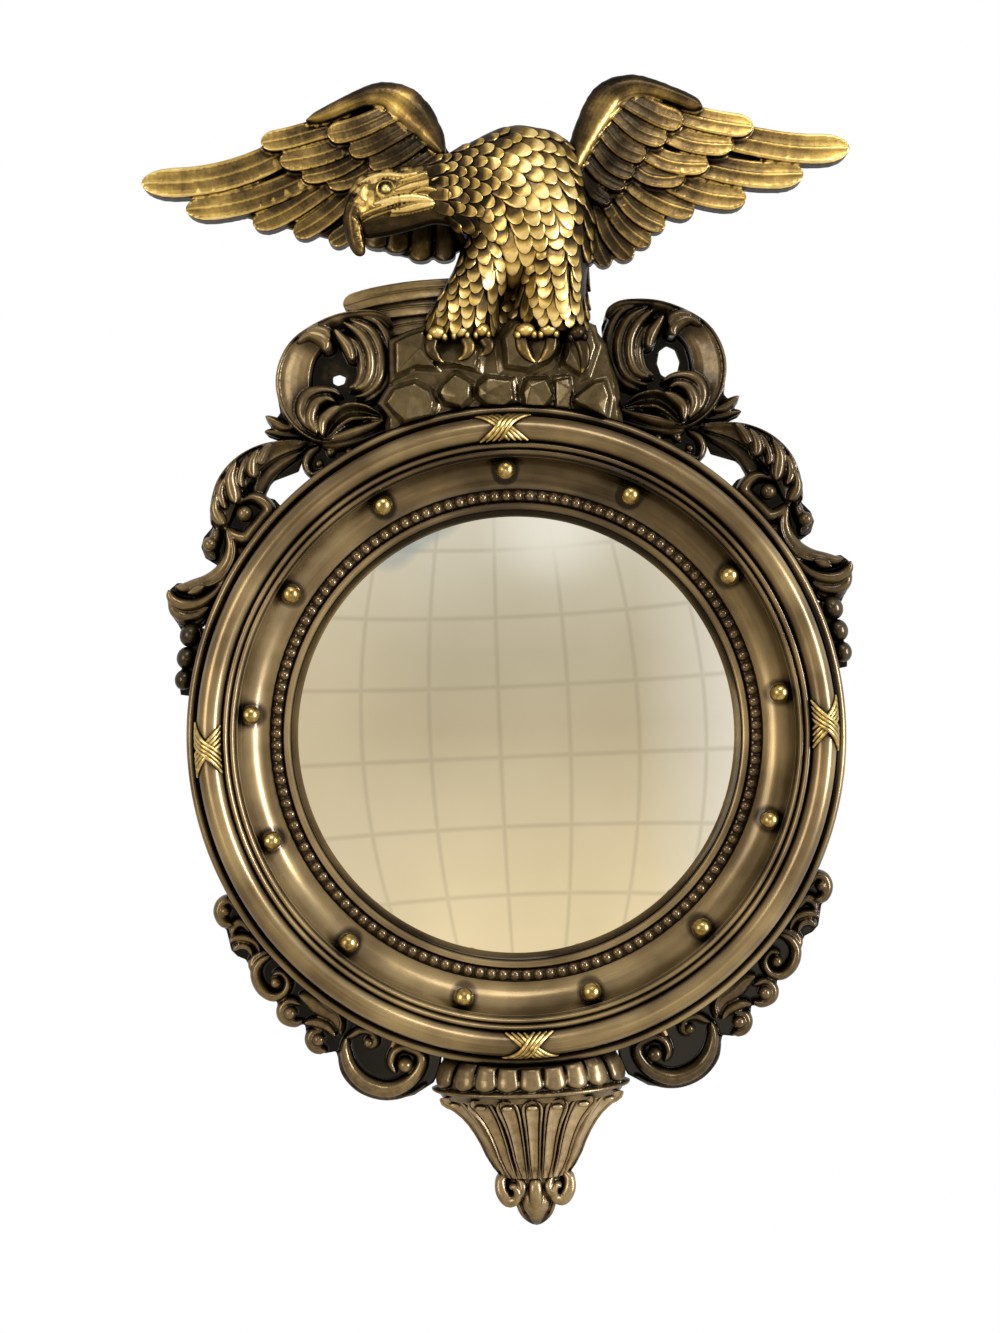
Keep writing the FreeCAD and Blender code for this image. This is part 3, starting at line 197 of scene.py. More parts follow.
def occlusion_shade(tree, distance):
    """Nearly 1 on open surfaces and towards 0 in carved recesses: painted shade there, which on the antiqued paint also
    stands for the glaze left in the recesses.
    """
    made = add_node(tree, "ShaderNodeAmbientOcclusion", {"samples": 6}, {"Distance": distance * MM})
    return made.outputs["AO"]


def facing_back(tree):
    """1 on faces that look at the wall and -1 on those that look at the viewer."""
    normal = add_node(tree, "ShaderNodeTexCoord").outputs["Normal"]
    return add_node(tree, "ShaderNodeSeparateXYZ", links={"Vector": normal}).outputs["Y"]


def antiqued(name, dark, middle, light, roughness, turned=False, hollow=7.0):
    """Metallic paint glazed with dark umber and wiped: dark in the recesses, from the glaze and from painted shade,
    rubbed bright on the ridges.
    """
    material, tree, bsdf = new_material(name, Metallic=0.55, Coat_Weight=0.36, Coat_Roughness=0.13,
                                        Specular_Tint=linear("#8a7c64"))
    coords = object_coords(tree)
    x, y, z = add_node(tree, "ShaderNodeSeparateXYZ", links={"Vector": coords}).outputs
    if turned:
        # Brush marks 1 to 2 mm wide that run round the ring
        angle = arithmetic(tree, "ARCTAN2", x, z)
        radius = hypotenuse(tree, x, z)
        joined = add_node(tree, "ShaderNodeCombineXYZ", links={
            "X": arithmetic(tree, "SINE", angle), "Y": arithmetic(tree, "COSINE", angle),
            "Z": product(tree, added(tree, radius, product(tree, y, 0.7)), 320.0)})
        marks = grain(tree, joined.outputs[0], 1.6, 5.0, 0.6)
        # Painted shade round the foot of each ball, over 8 mm, where the ball shades the cove
        turns = product(tree, angle, BALL_COUNT / (2 * math.pi))
        aside = product(tree, arithmetic(tree, "SUBTRACT", turns, arithmetic(tree, "ROUND", turns)),
                        2 * math.pi / BALL_COUNT * BALL_CIRCLE * MM)
        away = arithmetic(tree, "SUBTRACT", radius, BALL_CIRCLE * MM)
        painted_shade_and_back_tone = spread(tree, hypotenuse(tree, aside, away), 6.0 * MM, 8.4 * MM, -0.36, 0.0)
        # Painted shade at the top of the ring, most in its cove, where the crest above shades it
        top = spread(tree, arithmetic(tree, "ABSOLUTE", angle), 0.45, 1.0, -0.26, 0.0)
        inner = spread(tree, radius, 158 * MM, 166 * MM, 1.0, 0.35)
        painted_shade_and_back_tone = added(tree, painted_shade_and_back_tone, product(tree, top, inner))
    else:
        marks = grain(tree, coords, 260.0, 4.0, 0.6)
        # Painted shade: carving near the wall side is darker, as deep in the carving; the flat backs are brushed with
        # plain brown
        painted_shade_and_back_tone = added(tree, spread(tree, y, -13.0 * MM, -7.5 * MM, 0.0, -0.5),
                     spread(tree, facing_back(tree), 0.6, 0.9, 0.0, 0.55))
    clouds = grain(tree, coords, 22.0, 3.0, 0.5)
    swing = 0.17 if turned else 0.08
    # The occlusion term paints shade into the recesses, besides marks and tone
    wear_and_painted_shade = added(tree, product(tree, marks, 0.42), spread(tree, clouds, 0.3, 0.7, 0.18 - swing, 0.18 + swing),
                 spread(tree, occlusion_shade(tree, hollow), 0.3, 1.0, -0.5, 0.14), painted_shade_and_back_tone)
    colour = ramp(tree, wear_and_painted_shade, [(0.08, dark), (0.42, middle), (0.74, light)])
    tree.links.new(colour, bsdf.inputs["Base Color"])
    # Where glaze and painted shade darken the paint, it is dull and hardly shines
    tree.links.new(spread(tree, wear_and_painted_shade, 0.0, 0.3, 1.0, 0.55), bsdf.inputs["Metallic"])
    rough = spread(tree, marks, 0.3, 0.7, roughness + 0.07, roughness - 0.05)
    tree.links.new(added(tree, rough, spread(tree, wear_and_painted_shade, 0.0, 0.3, 0.3, 0.0)), bsdf.inputs["Roughness"])
    bump(tree, bsdf, marks, 0.05, 0.5)
    return material


def gilded(name):
    """Gold paint over a dark ground: the "gilt" attribute is high on edges and tips and low in the recesses."""
    material, tree, bsdf = new_material(name, Metallic=0.8, Coat_Weight=0.12, Coat_Roughness=0.15,
                                        Specular_Tint=linear("#8a7a58"))
    coords = object_coords(tree)
    marks = grain(tree, coords, 420.0, 4.0, 0.6)
    clouds = grain(tree, coords, 55.0, 4.0, 0.6)
    gilt = add_node(tree, "ShaderNodeAttribute", {"attribute_name": "gilt"}).outputs["Fac"]
    # Painted shade in the recesses; faces turned aside from the front are darker, and the flat backs are brushed with
    # plain brown
    facing = facing_back(tree)
    wear_and_painted_shade = added(tree, product(tree, gilt, 0.62), product(tree, marks, 0.24), product(tree, clouds, 0.62),
                 spread(tree, occlusion_shade(tree, 4.0), 0.25, 1.0, -0.62, -0.18), spread(tree, facing, -0.45, 0.0, 0.0, -0.55),
                 spread(tree, facing, 0.6, 0.9, 0.0, 0.66))
    colour = ramp(tree, wear_and_painted_shade, [(0.12, "#100c06"), (0.34, "#3e321f"), (0.52, "#7a653b"), (0.68, "#b1954f"),
                               (0.88, "#e0c98a")])
    tree.links.new(colour, bsdf.inputs["Base Color"])
    tree.links.new(spread(tree, marks, 0.3, 0.7, 0.4, 0.26), bsdf.inputs["Roughness"])
    bump(tree, bsdf, marks, 0.08, 0.6)
    return material


# Bronze paint brushed on the turned ring and glazed with umber, satin
ring_paint = antiqued("bronze_paint_brushed_on_turned_wood", "#191209", "#66563c", "#9f8c65", 0.28, turned=True)
# The same paint on carved ornament, darker because the glaze stays in the carving
carved_paint = antiqued("bronze_paint_glazed_on_carving", "#0d0904", "#544630", "#96825b", 0.28)
# Wiped a little paler on the tail, and darker again on the cup
tail_paint = antiqued("bronze_paint_on_tail", "#171008", "#6b5a3c", "#a48e60", 0.32)
cup_paint = antiqued("bronze_paint_on_cup", "#100b06", "#594b34", "#8f7d5c", 0.3)
# Palest on the bell, and less so on the finial: painted light, for the light these down-facing parts catch from below
bell_lit_paint = antiqued("bronze_paint_painted_light_on_bell", "#1c140c", "#8d7a5d", "#cbb894", 0.32, hollow=2.2)
finial_paint = antiqued("bronze_paint_on_finial", "#100b06", "#6c5b42", "#a8946e", 0.28, hollow=3.2)
# Nearly all the glaze was left on the bead drops
drop_paint = antiqued("bronze_paint_dark_on_drops", "#0a0703", "#2e2619", "#5c4f36", 0.3)
# The same paint, darker, on the carving of the right side: painted shade
right_shaded_paint = antiqued("bronze_paint_painted_shade_on_right_carving", "#080502", "#33291a", "#6b5a3c", 0.28)
rock_paint = antiqued("bronze_paint_on_rocks", "#0c0804", "#40361f", "#75664a", 0.24, hollow=4.0)
# Dark bronze beads, polished by wiping
bead_paint = antiqued("dark_bronze_paint_on_beads", "#2a2015", "#4a3c2a", "#7c6a4c", 0.15, hollow=1.6)
# Gold paint on the eagle over a dark ground
eagle_gilding = gilded("gold_paint_rubbed_on_carving")


def gilt_brass(name, dark, middle, light, roughness):
    """Gilt brass under lacquer, with slight clouding."""
    material, tree, bsdf = new_material(name, Metallic=1.0)
    coords = object_coords(tree)
    clouds = grain(tree, coords, 300.0, 3.0, 0.5)
    # Painted shade where a ball meets the cove and between the cords
    wear_and_painted_shade = added(tree, clouds, spread(tree, occlusion_shade(tree, 2.5), 0.25, 0.9, -0.4, 0.0))
    tree.links.new(ramp(tree, wear_and_painted_shade, [(0.12, dark), (0.5, middle), (0.7, light)]), bsdf.inputs["Base Color"])
    tree.links.new(spread(tree, clouds, 0.3, 0.7, roughness + 0.07, roughness - 0.05), bsdf.inputs["Roughness"])
    bump(tree, bsdf, clouds, 0.03, 0.4)
    return material


# Balls of the cove: aged brass; ties: paler gold paint, with painted shade between the cords
brass = gilt_brass("aged_gilt_brass_lacquered", "#2e2410", "#9a8450", "#c6b078", 0.26)
tie_gold = gilt_brass("gold_paint_on_cords", "#3a2c12", "#b8a065", "#e0cd94", 0.34)


def silvered_glass():
    """Silvered convex glass: a mirror with a warm cast and a faint bloom of age."""
    material, tree, bsdf = new_material("silvered_convex_glass", Metallic=1.0, Roughness=0.015)
    coords = object_coords(tree)
    bloom = grain(tree, coords, 9.0, 3.0, 0.5)
    tree.links.new(ramp(tree, bloom, [(0.3, "#e2dccb"), (0.7, "#f0ebdd")]), bsdf.inputs["Base Color"])
    tree.links.new(spread(tree, grain(tree, coords, 40.0), 0.5, 0.8, 0.012, 0.05), bsdf.inputs["Roughness"])
    return material


mirror_silver = silvered_glass()


def plain_finish(name, dark, light, scale, roughness, metallic=0.0, relief=0.05):
    """A back-of-the-frame finish with a fine grain in its colour, roughness and relief."""
    material, tree, bsdf = new_material(name, Metallic=metallic)
    coords = object_coords(tree)
    marks = grain(tree, coords, scale, 5.0, 0.6)
    tree.links.new(ramp(tree, marks, [(0.3, dark), (0.7, light)]), bsdf.inputs["Base Color"])
    tree.links.new(spread(tree, marks, 0.3, 0.7, roughness + 0.08, roughness - 0.06), bsdf.inputs["Roughness"])
    bump(tree, bsdf, marks, relief, 0.6)
    return material


# Pressed hardboard: brown, with a fine fibre grain of about 2 mm
hardboard = plain_finish("pressed_hardboard", "#5a4128", "#7d5f3d", 520.0, 0.7)
# Wool felt of the pads and the glass bedding
felt = plain_finish("dark_wool_felt", "#2b241d", "#463b30", 1400.0, 0.95, relief=0.2)
# Zinc plated steel of clips, plates and screws
steel = plain_finish("zinc_plated_steel", "#8d8f90", "#bfc1c0", 700.0, 0.33, 1.0)
# Beech of the dowels
beech = plain_finish("beech_dowel", "#a9814f", "#caa56f", 600.0, 0.6)

finish_of_slot = {"bronzed_wood": carved_paint, "gilt_wood": eagle_gilding, "dark_beading": bead_paint,
                  "gilt_brass": brass, "convex_mirror": mirror_silver, "felt": felt, "hardboard": hardboard,
                  "plated_steel": steel, "dowel_wood": beech}
slot_of_node = {entry["node"]: entry["material_slot"] for entry in frame["record"]["subparts"]}


def finish(piece, material):
    piece.data.materials.clear()
    piece.data.materials.append(material)


for name, piece in nodes.items():
    finish(piece, finish_of_slot[slot_of_node.get(name, "bronzed_wood")])


# Shaping

def active(piece):
    bpy.ops.object.select_all(action="DESELECT")
    piece.select_set(True)
    bpy.context.view_layer.objects.active = piece


def applied(piece):
    """The piece, made active and with its transforms applied."""
    active(piece)
    bpy.ops.object.transform_apply(location=True, rotation=True, scale=True)
    return piece


def settle(piece, name, stands_for, material, smooth=35.0, body="mirror"):
    """The last steps on a finished piece: applied transforms, shading, finish, and its place in the frame."""
    applied(piece)
    bpy.ops.object.shade_smooth_by_angle(angle=math.radians(smooth))
    piece.name = piece.data.name = name
    finish(piece, material)
    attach(piece, body)
    if stands_for:
        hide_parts(*stands_for)
    return piece


def tidy_mesh(threshold=0.00001):
    """In edit mode: merges what lies together and points the faces outwards."""
    bpy.ops.mesh.select_all(action="SELECT")
    bpy.ops.mesh.remove_doubles(threshold=threshold)
    bpy.ops.mesh.normals_make_consistent(inside=False)


def turn_section(section):
    """Draws a closed section of (radius, out) corners point by point and spins it round the axis of the ring."""
    points = [place(radius, 0, out) for radius, out in section]
    bpy.ops.object.select_all(action="DESELECT")
    bpy.ops.mesh.primitive_plane_add(size=0.001, location=points[0])
    piece = bpy.context.object
    bpy.ops.object.mode_set(mode="EDIT")
    bpy.ops.mesh.merge(type="CENTER")
    for before, after in zip(points, points[1:] + points[:1]):
        bpy.ops.mesh.extrude_region_move(TRANSFORM_OT_translate={"value": after - before})
    bpy.ops.mesh.select_all(action="SELECT")
    bpy.ops.mesh.remove_doubles(threshold=0.00001)
    bpy.ops.mesh.spin(steps=TURN_STEPS, angle=2 * math.pi, center=(0, 0, 0), axis=(0, 1, 0))
    tidy_mesh()
    bpy.ops.object.mode_set(mode="OBJECT")
    return piece


def arc(centre, out, across, rise, start, end, steps):
    """Corners on an oval arc of a section, from one angle to another in degrees."""
    turns = [math.radians(start + (end - start) * step / steps) for step in range(steps + 1)]
    return [(centre + across * math.cos(turn), out + rise * math.sin(turn)) for turn in turns]


def ring_section():
    """The moulding from the outer wall over the reeds and the cove to the rabbet."""
    section = [(RING_OUTER - 1.0, RING_BACK), (RING_OUTER, RING_BACK + 1.0)]
    section += arc(RING_OUTER - 2.6, REED_FOOT, 2.6, 2.9, 0, 180, 12)
    section += [(178.0, REED_FOOT - 0.3), (177.2, REED_FOOT + 0.4), (176.3, REED_FOOT + 2.4)]
    section += arc(REED_CENTRE, REED_OUT, REED_RADIUS, REED_RADIUS, -25, 180, 26)
    section += arc(161.0, 38.95, 1.8, 2.7, 0, 180, 9)[1:]
    section += arc(157.4, 37.05, 1.8, 2.7, 35, 180, 8)
    section += [(155.0, 37.0), (154.6, 37.2)]
    section += arc(COVE_CENTRE, COVE_OUT, COVE_RADIUS, COVE_RADIUS, 2.8, -83.4, 24)
    section += [(138.5, BEAD_SEAT), (130.6, BEAD_SEAT), (130.6, 19.4), (130.1, 20.05)]
    section += [(128.4, 20.0), (127.2, 19.5), (SIGHT_RADIUS, 18.6), (SIGHT_RADIUS, LIP_BACK)]
    section += [(RABBET, LIP_BACK), (RABBET, RING_BACK)]
    return section


ring = turn_section(ring_section())
settle(ring, "turned_ring", ["frame_ring"], ring_paint)


def glass_out(radius):
    """How far the face of the glass stands from the wall at a distance from the axis."""
    return GLASS_CENTRE + math.sqrt(GLASS_SPHERE ** 2 - radius ** 2)


radii = [GLASS_RADIUS * step / 24 for step in range(25)]
glass_section = [(radius, glass_out(radius)) for radius in radii]
glass_section += [(radius, glass_out(radius) - GLASS_THICK) for radius in reversed(radii)]
glass = turn_section(glass_section)
settle(glass, "convex_glass", ["mirror_glass"], mirror_silver)


def copy_round(master, angle):
    """A copy with its own mesh, turned clockwise round the axis of the ring."""
    copy = master.copy()
    copy.data = master.data.copy()
    bpy.context.collection.objects.link(copy)
    copy.data.transform(Matrix.Rotation(math.radians(angle), 4, "Y"))
    return copy


def join(pieces):
    """Several pieces made one, under the first."""
    bpy.ops.object.select_all(action="DESELECT")
    for piece in pieces:
        piece.select_set(True)
    bpy.context.view_layer.objects.active = pieces[0]
    bpy.ops.object.join()
    return bpy.context.object


def make_beads():
    """One bead, pressed oval, is modelled and copied round its groove on a thin strip."""
    bpy.ops.object.select_all(action="DESELECT")
    bpy.ops.mesh.primitive_uv_sphere_add(segments=12, ring_count=8, radius=BEAD_RADIUS * MM,
                                         location=on_ring(BEAD_CIRCLE, 0, BEAD_SEAT + 1.7))
    bead = bpy.context.object
    bead.rotation_euler = (math.pi / 2, 0, 0)
    bead.scale = (1.0, 1.12, 1.0)
    applied(bead)
    beads = [bead] + [copy_round(bead, 360 * index / BEAD_COUNT) for index in range(1, BEAD_COUNT)]
    strip = turn_section([(138.0, BEAD_SEAT + 0.1), (137.4, BEAD_SEAT + 1.5), (134.5, BEAD_SEAT + 1.9),
                          (131.6, BEAD_SEAT + 1.5), (131.0, BEAD_SEAT + 0.1)])
    return join([strip] + beads)


settle(make_beads(), "bead_moulding", ["bead_strip"], bead_paint, 60.0)


def make_balls():
    """A brass ball with its foot drawn out into a stem, copied to the thirteen places."""
    bpy.ops.object.select_all(action="DESELECT")
    bpy.ops.mesh.primitive_uv_sphere_add(segments=32, ring_count=20, radius=BALL_RADIUS * MM,
                                         location=on_ring(BALL_CIRCLE, 0, BALL_OUT))
    ball = bpy.context.object
    ball.rotation_euler = (math.pi / 2, 0, 0)
    applied(ball)
    # The foot is drawn out into the stem that goes into the cove
    bpy.ops.object.mode_set(mode="EDIT")
    bpy.ops.mesh.select_all(action="DESELECT")
    bpy.ops.object.mode_set(mode="OBJECT")
    back = -(BALL_OUT - BALL_RADIUS * 0.93) * MM
    for face in ball.data.polygons:
        face.select = face.center.y > back
    bpy.ops.object.mode_set(mode="EDIT")
    bpy.ops.mesh.select_mode(type="FACE")
    bpy.ops.mesh.extrude_region_move(TRANSFORM_OT_translate={"value": (0, 9.0 * MM, 0)})
    bpy.ops.object.mode_set(mode="OBJECT")
    for index in range(1, BALL_COUNT):
        settle(copy_round(ball, 360 * index / BALL_COUNT), "brass_ball_%02d" % (index + 1),
               ["cavetto_ball_%02d" % (index + 1)], brass, 50.0)
    settle(ball, "brass_ball_01", ["cavetto_ball_01"], brass, 50.0)


make_balls()


def make_ties():
    """Two straps of four cords each, crossed over the large reed; one tie is made and turned to its four places."""
    cords = []
    for slope, lift in ((-1, 0.0), (1, TIE_LIFT)):
        for offset in CORD_PLACES:
            data = bpy.data.curves.new("cord", "CURVE")
            data.dimensions = "3D"
            data.bevel_depth = CORD_RADIUS * MM
            data.bevel_resolution = 3
            data.use_fill_caps = True
            line = data.splines.new("NURBS")
            line.points.add(9)
            for step, point in enumerate(line.points):
                share = step / 9
                wrap = math.radians(-56 + 140 * share)
                hump = lift * math.exp(-((share - TIE_CROSSING) / 0.22) ** 2)
                reach = REED_RADIUS + 0.75 + hump
                aside = (slope * TIE_RUN * (share - TIE_CROSSING)
                         + offset * (0.8 + 0.9 * abs(share - TIE_CROSSING)))
                height = REED_CENTRE - aside ** 2 / (2 * REED_CENTRE) + reach * math.sin(wrap)
                point.co = (*place(aside, height, REED_OUT + reach * math.cos(wrap)), 1.0)
                point.radius = 0.55 if step in (0, 9) else 1.0
            line.order_u = 4
            line.use_endpoint_u = True
            cord = bpy.data.objects.new("cord", data)
            bpy.context.collection.objects.link(cord)
            active(cord)
            bpy.ops.object.convert(target="MESH")
            cords.append(bpy.context.object)
    tie = join(cords)
    for index, side in enumerate(("top", "right", "bottom", "left")):
        if index:
            settle(copy_round(tie, 90 * index), "cord_tie_" + side, ["tie_" + side], tie_gold, 50.0)
    settle(tie, "cord_tie_top", ["tie_top"], tie_gold, 50.0)


make_ties()


# Carving

def front_point(x, z, out):
    """A point in millimetres, before it is scaled to the model."""
    return Vector((x, -out, z))


def along_line(points, steps):
    """Rows of numbers at even steps on a smooth line through the given rows."""
    size = len(points[0])
    first = [2 * a - b for a, b in zip(points[0], points[1])]
    last = [2 * a - b for a, b in zip(points[-1], points[-2])]
    rows = [first] + [list(row) for row in points] + [last]
    made = []
    for step in range(steps + 1):
        place_on = step / steps * (len(points) - 1)
        index = min(int(place_on), len(points) - 2)
        t = place_on - index
        a, b, c, d = rows[index:index + 4]
        made.append([0.5 * (2 * b[k] + (c[k] - a[k]) * t + (2 * a[k] - 5 * b[k] + 4 * c[k] - d[k]) * t * t
                            + (3 * b[k] - a[k] - 3 * c[k] + d[k]) * t ** 3) for k in range(size)])
    return made


def set_gilt(piece, shares):
    """Writes the share of gilding of every point."""
    attribute = piece.data.attributes.get("gilt") or piece.data.attributes.new("gilt", "FLOAT", "POINT")
    attribute.data.foreach_set("value", shares)
    return piece


class Carving:
    """Closed carved shapes gathered into one piece, with the share of gilding at every point."""

    def __init__(self):
        self.points, self.faces, self.gilt = [], [], []

    def shell(self, rings, shares):
        """A closed shape through rings of equally many points, its ends closed; one share may serve all."""
        if isinstance(shares, float):
            shares = [[shares] * len(ring) for ring in rings]
        first, count = len(self.points), len(rings[0])
        for ring, gilt in zip(rings, shares):
            self.points += ring
            self.gilt += gilt
        for row in range(len(rings) - 1):
            base = first + row * count
            for i in range(count):
                j = (i + 1) % count
                self.faces.append((base + i, base + j, base + count + j, base + count + i))
        for row in (0, len(rings) - 1):
            middle = len(self.points)
            self.points.append(sum(rings[row], Vector()) / count)
            self.gilt.append(sum(shares[row]) / count)
            base = first + row * count
            for i in range(count):
                self.faces.append((base + i, base + (i + 1) % count, middle))

    def blade(self, stations, section, crown, foot=None, depth=1.0):
        """A leaf-like shape on a line of (centre, normal, half width, gilt, lean) stations under a carved section."""
        rings, shares = [], []
        last = len(stations) - 1
        for index, (centre, normal, half, more, lean) in enumerate(stations):
            along = stations[min(index + 1, last)][0] - stations[max(index - 1, 0)][0]
            aside = normal.cross(along).normalized()
            ring = [centre + aside * (half * across) + normal * (crown * height + lean * across)
                    for across, height, gilt in section]
            for side in (1, -1):
                low = centre + aside * (half * side) - normal * depth
                if foot is not None:
                    low.y = -foot
                ring.append(low)
            rings.append(ring)
            shares.append([min(max(gilt + more, -0.4), 1.0) for across, height, gilt in section] + [0.0, 0.0])
        self.shell(rings, shares)

    def feather(self, line, half, section, crown, foot, lean=0.0, root=0.95, tip=0.82, gilt=0.25):
        """A blade with a rounded tip on a line of (x, z, out) points."""
        stations = []
        shares = [tip * step / FEATHER_STEPS for step in range(FEATHER_STEPS + 1)]
        shares += [tip + (1 - tip) * math.sin(math.radians(turn)) for turn in (22, 42, 60, 75, 86)]
        path = along_line(line, LINE_STEPS)
        for share in shares:
            position = share * LINE_STEPS
            index = min(int(position), LINE_STEPS - 1)
            rest = position - index
            x, z, out = [a + (b - a) * rest for a, b in zip(path[index], path[index + 1])]
            width = root + (1 - root) * min(share / 0.6, 1.0) ** 0.7
            ending = math.sqrt(max(1 - max((share - tip) / (1 - tip), 0.0) ** 2, 0.0008))
            stations.append((front_point(x, z, out), OUTWARD, half * width * ending,
                             gilt * max((share - 0.45) / 0.55, 0.0), lean * ending))
        self.blade(stations, section, crown, foot)

    def mound(self, centre, radii, segments=16, rings=8, gilt=0.3, turn=0.0):
        """A ball or button with its pole towards the viewer; radii are (across, up, out)."""
        shape, shares = [], []
        lean = math.radians(turn)
        for row in range(rings + 1):
            polar = math.pi * (row + 0.08) / (rings + 0.16)
            ring = []
            for segment in range(segments):
                turn_round = 2 * math.pi * segment / segments
                across = radii[0] * math.sin(polar) * math.cos(turn_round)
                up = radii[1] * math.sin(polar) * math.sin(turn_round)
                ring.append(centre + Vector((across * math.cos(lean) - up * math.sin(lean),
                                             -radii[2] * math.cos(polar),
                                             across * math.sin(lean) + up * math.cos(lean))))
            shape.append(ring)
            shares.append([gilt * max(math.cos(polar), 0.2)] * segments)
        self.shell(shape, shares)

    def plate(self, outlines, out):
        """Flat ground inside the first outline and outside the others, from the wall side to its front."""
        loops = [[Vector((x, 0, z)) for x, z in outline] for outline in outlines]
        flat = [point for loop in loops for point in loop]
        first, count = len(self.points), len(flat)
        for depth in (WING_BACK, out):
            self.points += [front_point(point.x, point.z, depth) for point in flat]
            self.gilt += [0.0] * count
        for a, b, c in tessellate_polygon(loops):
            self.faces += [(first + a, first + b, first + c), (first + count + a, first + count + c, first + count + b)]
        start = first
        for loop in loops:
            for i in range(len(loop)):
                here, there = start + i, start + (i + 1) % len(loop)
                self.faces.append((here, there, there + count, here + count))
            start += len(loop)

    def piece(self):
        """The finished mesh as an object, with its faces pointing outwards."""
        data = bpy.data.meshes.new("carving")
        data.from_pydata([tuple(point * MM) for point in self.points], [], self.faces)
        made = set_gilt(bpy.data.objects.new("carving", data), self.gilt)
        bpy.context.collection.objects.link(made)
        active(made)
        bpy.ops.object.mode_set(mode="EDIT")
        bpy.ops.mesh.select_all(action="SELECT")
        bpy.ops.mesh.normals_make_consistent(inside=False)
        bpy.ops.object.mode_set(mode="OBJECT")
        return made


# Sections across a carved shape: across, height, gilding
FEATHER = [(-1, 0, 0.1), (-0.95, 0.7, 0.6), (-0.84, 0.86, 0.45), (-0.62, 0.78, 0.1), (-0.3, 0.76, 0.05),
           (-0.1, 0.8, 0.15), (-0.03, 0.98, 0.4), (0.05, 0.98, 0.4), (0.12, 0.76, 0.08), (0.42, 0.72, 0.08),
           (0.7, 0.8, 0.2), (0.88, 0.9, 0.5), (0.96, 0.72, 0.7), (1, 0, 0.2)]
COVERT = [(-1, 0, 0.1), (-0.94, 0.66, 0.6), (-0.8, 0.82, 0.3), (-0.5, 0.74, 0.05), (-0.15, 0.76, 0.03),
          (0.0, 0.92, 0.2), (0.15, 0.76, 0.03), (0.5, 0.74, 0.06), (0.78, 0.84, 0.3), (0.94, 0.66, 0.6), (1, 0, 0.1)]
ROUND = [(math.cos(math.pi * (1 - step / 12)), math.sin(math.pi * step / 12) ** 0.8, 0.3 + 0.4 * math.sin(
         math.pi * step / 12)) for step in range(13)]


def mirrored(section):
    """A section with its two sides exchanged."""
    return [(-across, height, gilt) for across, height, gilt in reversed(section)]


def fused(piece, voxel, passes):
    """Fuses overlapping carved forms into one smooth skin."""
    active(piece)
    remesh = piece.modifiers.new("fuse", "REMESH")
    remesh.mode = "VOXEL"
    remesh.voxel_size = voxel * MM
    bpy.ops.object.modifier_apply(modifier="fuse")
    soften = piece.modifiers.new("soften", "SMOOTH")
    soften.factor = 0.5
    soften.iterations = passes
    bpy.ops.object.modifier_apply(modifier="soften")
    return piece


def fused_gilt(carving, voxel, passes):
    """Fuses a carving into one skin and gives each point the gilding of the nearest point before."""
    near = KDTree(len(carving.points))
    for index, point in enumerate(carving.points):
        near.insert(point * MM, index)
    near.balance()
    piece = fused(carving.piece(), voxel, passes)
    shares = [carving.gilt[near.find(vertex.co)[1]] for vertex in piece.data.vertices]
    return set_gilt(piece, shares)


# Feathers of the right wing by layer: the line of each as (x, z), then its half width
right_primaries = [
    ([(119.5, 335.6), (145.0, 328.2), (172.6, 322.7), (201.0, 321.6)], 7.2),
    ([(106.0, 321.2), (127.2, 313.4), (150.6, 308.7), (174.6, 308.2)], 6.6),
    ([(88.6, 316.5), (105.4, 305.2), (122.3, 298.7), (142.0, 295.8)], 6.3),
    ([(73.5, 314.0), (83.9, 303.4), (97.5, 294.9), (112.4, 289.8)], 5.7),
    ([(67.9, 308.8), (76.0, 295.8), (84.3, 287.9), (95.6, 281.8)], 5.0),
    ([(62.4, 303.7), (69.4, 289.6), (77.0, 280.2), (87.0, 272.6)], 4.9),
    ([(60.5, 298.4), (63.2, 284.5), (68.7, 274.1), (76.4, 265.0)], 5.2),
    ([(55.4, 292.2), (56.6, 279.4), (58.9, 270.3), (62.8, 261.4)], 4.3)]
right_middle = [
    ([(98.6, 347.3), (115.5, 341.2), (130.3, 337.4), (146.8, 334.6)], 5.8),
    ([(91.7, 337.8), (106.4, 329.8), (120.2, 326.1), (135.1, 325.0)], 5.3),
    ([(80.6, 329.7), (93.1, 320.2), (105.9, 315.9), (121.3, 314.8)], 5.2),
    ([(74.9, 321.4), (84.2, 312.0), (94.8, 308.4), (107.4, 308.8)], 4.7)]
right_small = [
    ([(75.3, 354.8), (85.8, 347.9), (96.2, 342.1), (107.3, 338.0)], 5.8),
    ([(70.7, 347.5), (77.9, 339.1), (86.2, 332.9), (97.8, 328.8)], 5.2),
    ([(63.4, 339.2), (68.9, 330.4), (76.2, 324.2), (85.8, 320.3)], 5.2),
    ([(58.2, 330.8), (63.2, 322.0), (69.4, 315.3), (79.1, 310.7)], 4.6),
    ([(52.5, 322.5), (57.6, 314.8), (63.7, 309.2), (73.5, 303.7)], 4.1),
    ([(50.1, 315.1), (53.0, 307.5), (58.0, 300.8), (65.3, 295.8)], 3.6)]
right_arm = [(42.7, 308.2, 0.5), (48.2, 323.2, 0.72), (55.2, 337.2, 0.92), (62.2, 349, 1.05), (69, 356.4, 1),
    (79.9, 359.8, 0.86), (90.5, 358.2, 0.74), (102.1, 353.9, 0.66), (111.6, 349.5, 0.62), (118.6, 345.8, 0.4)]
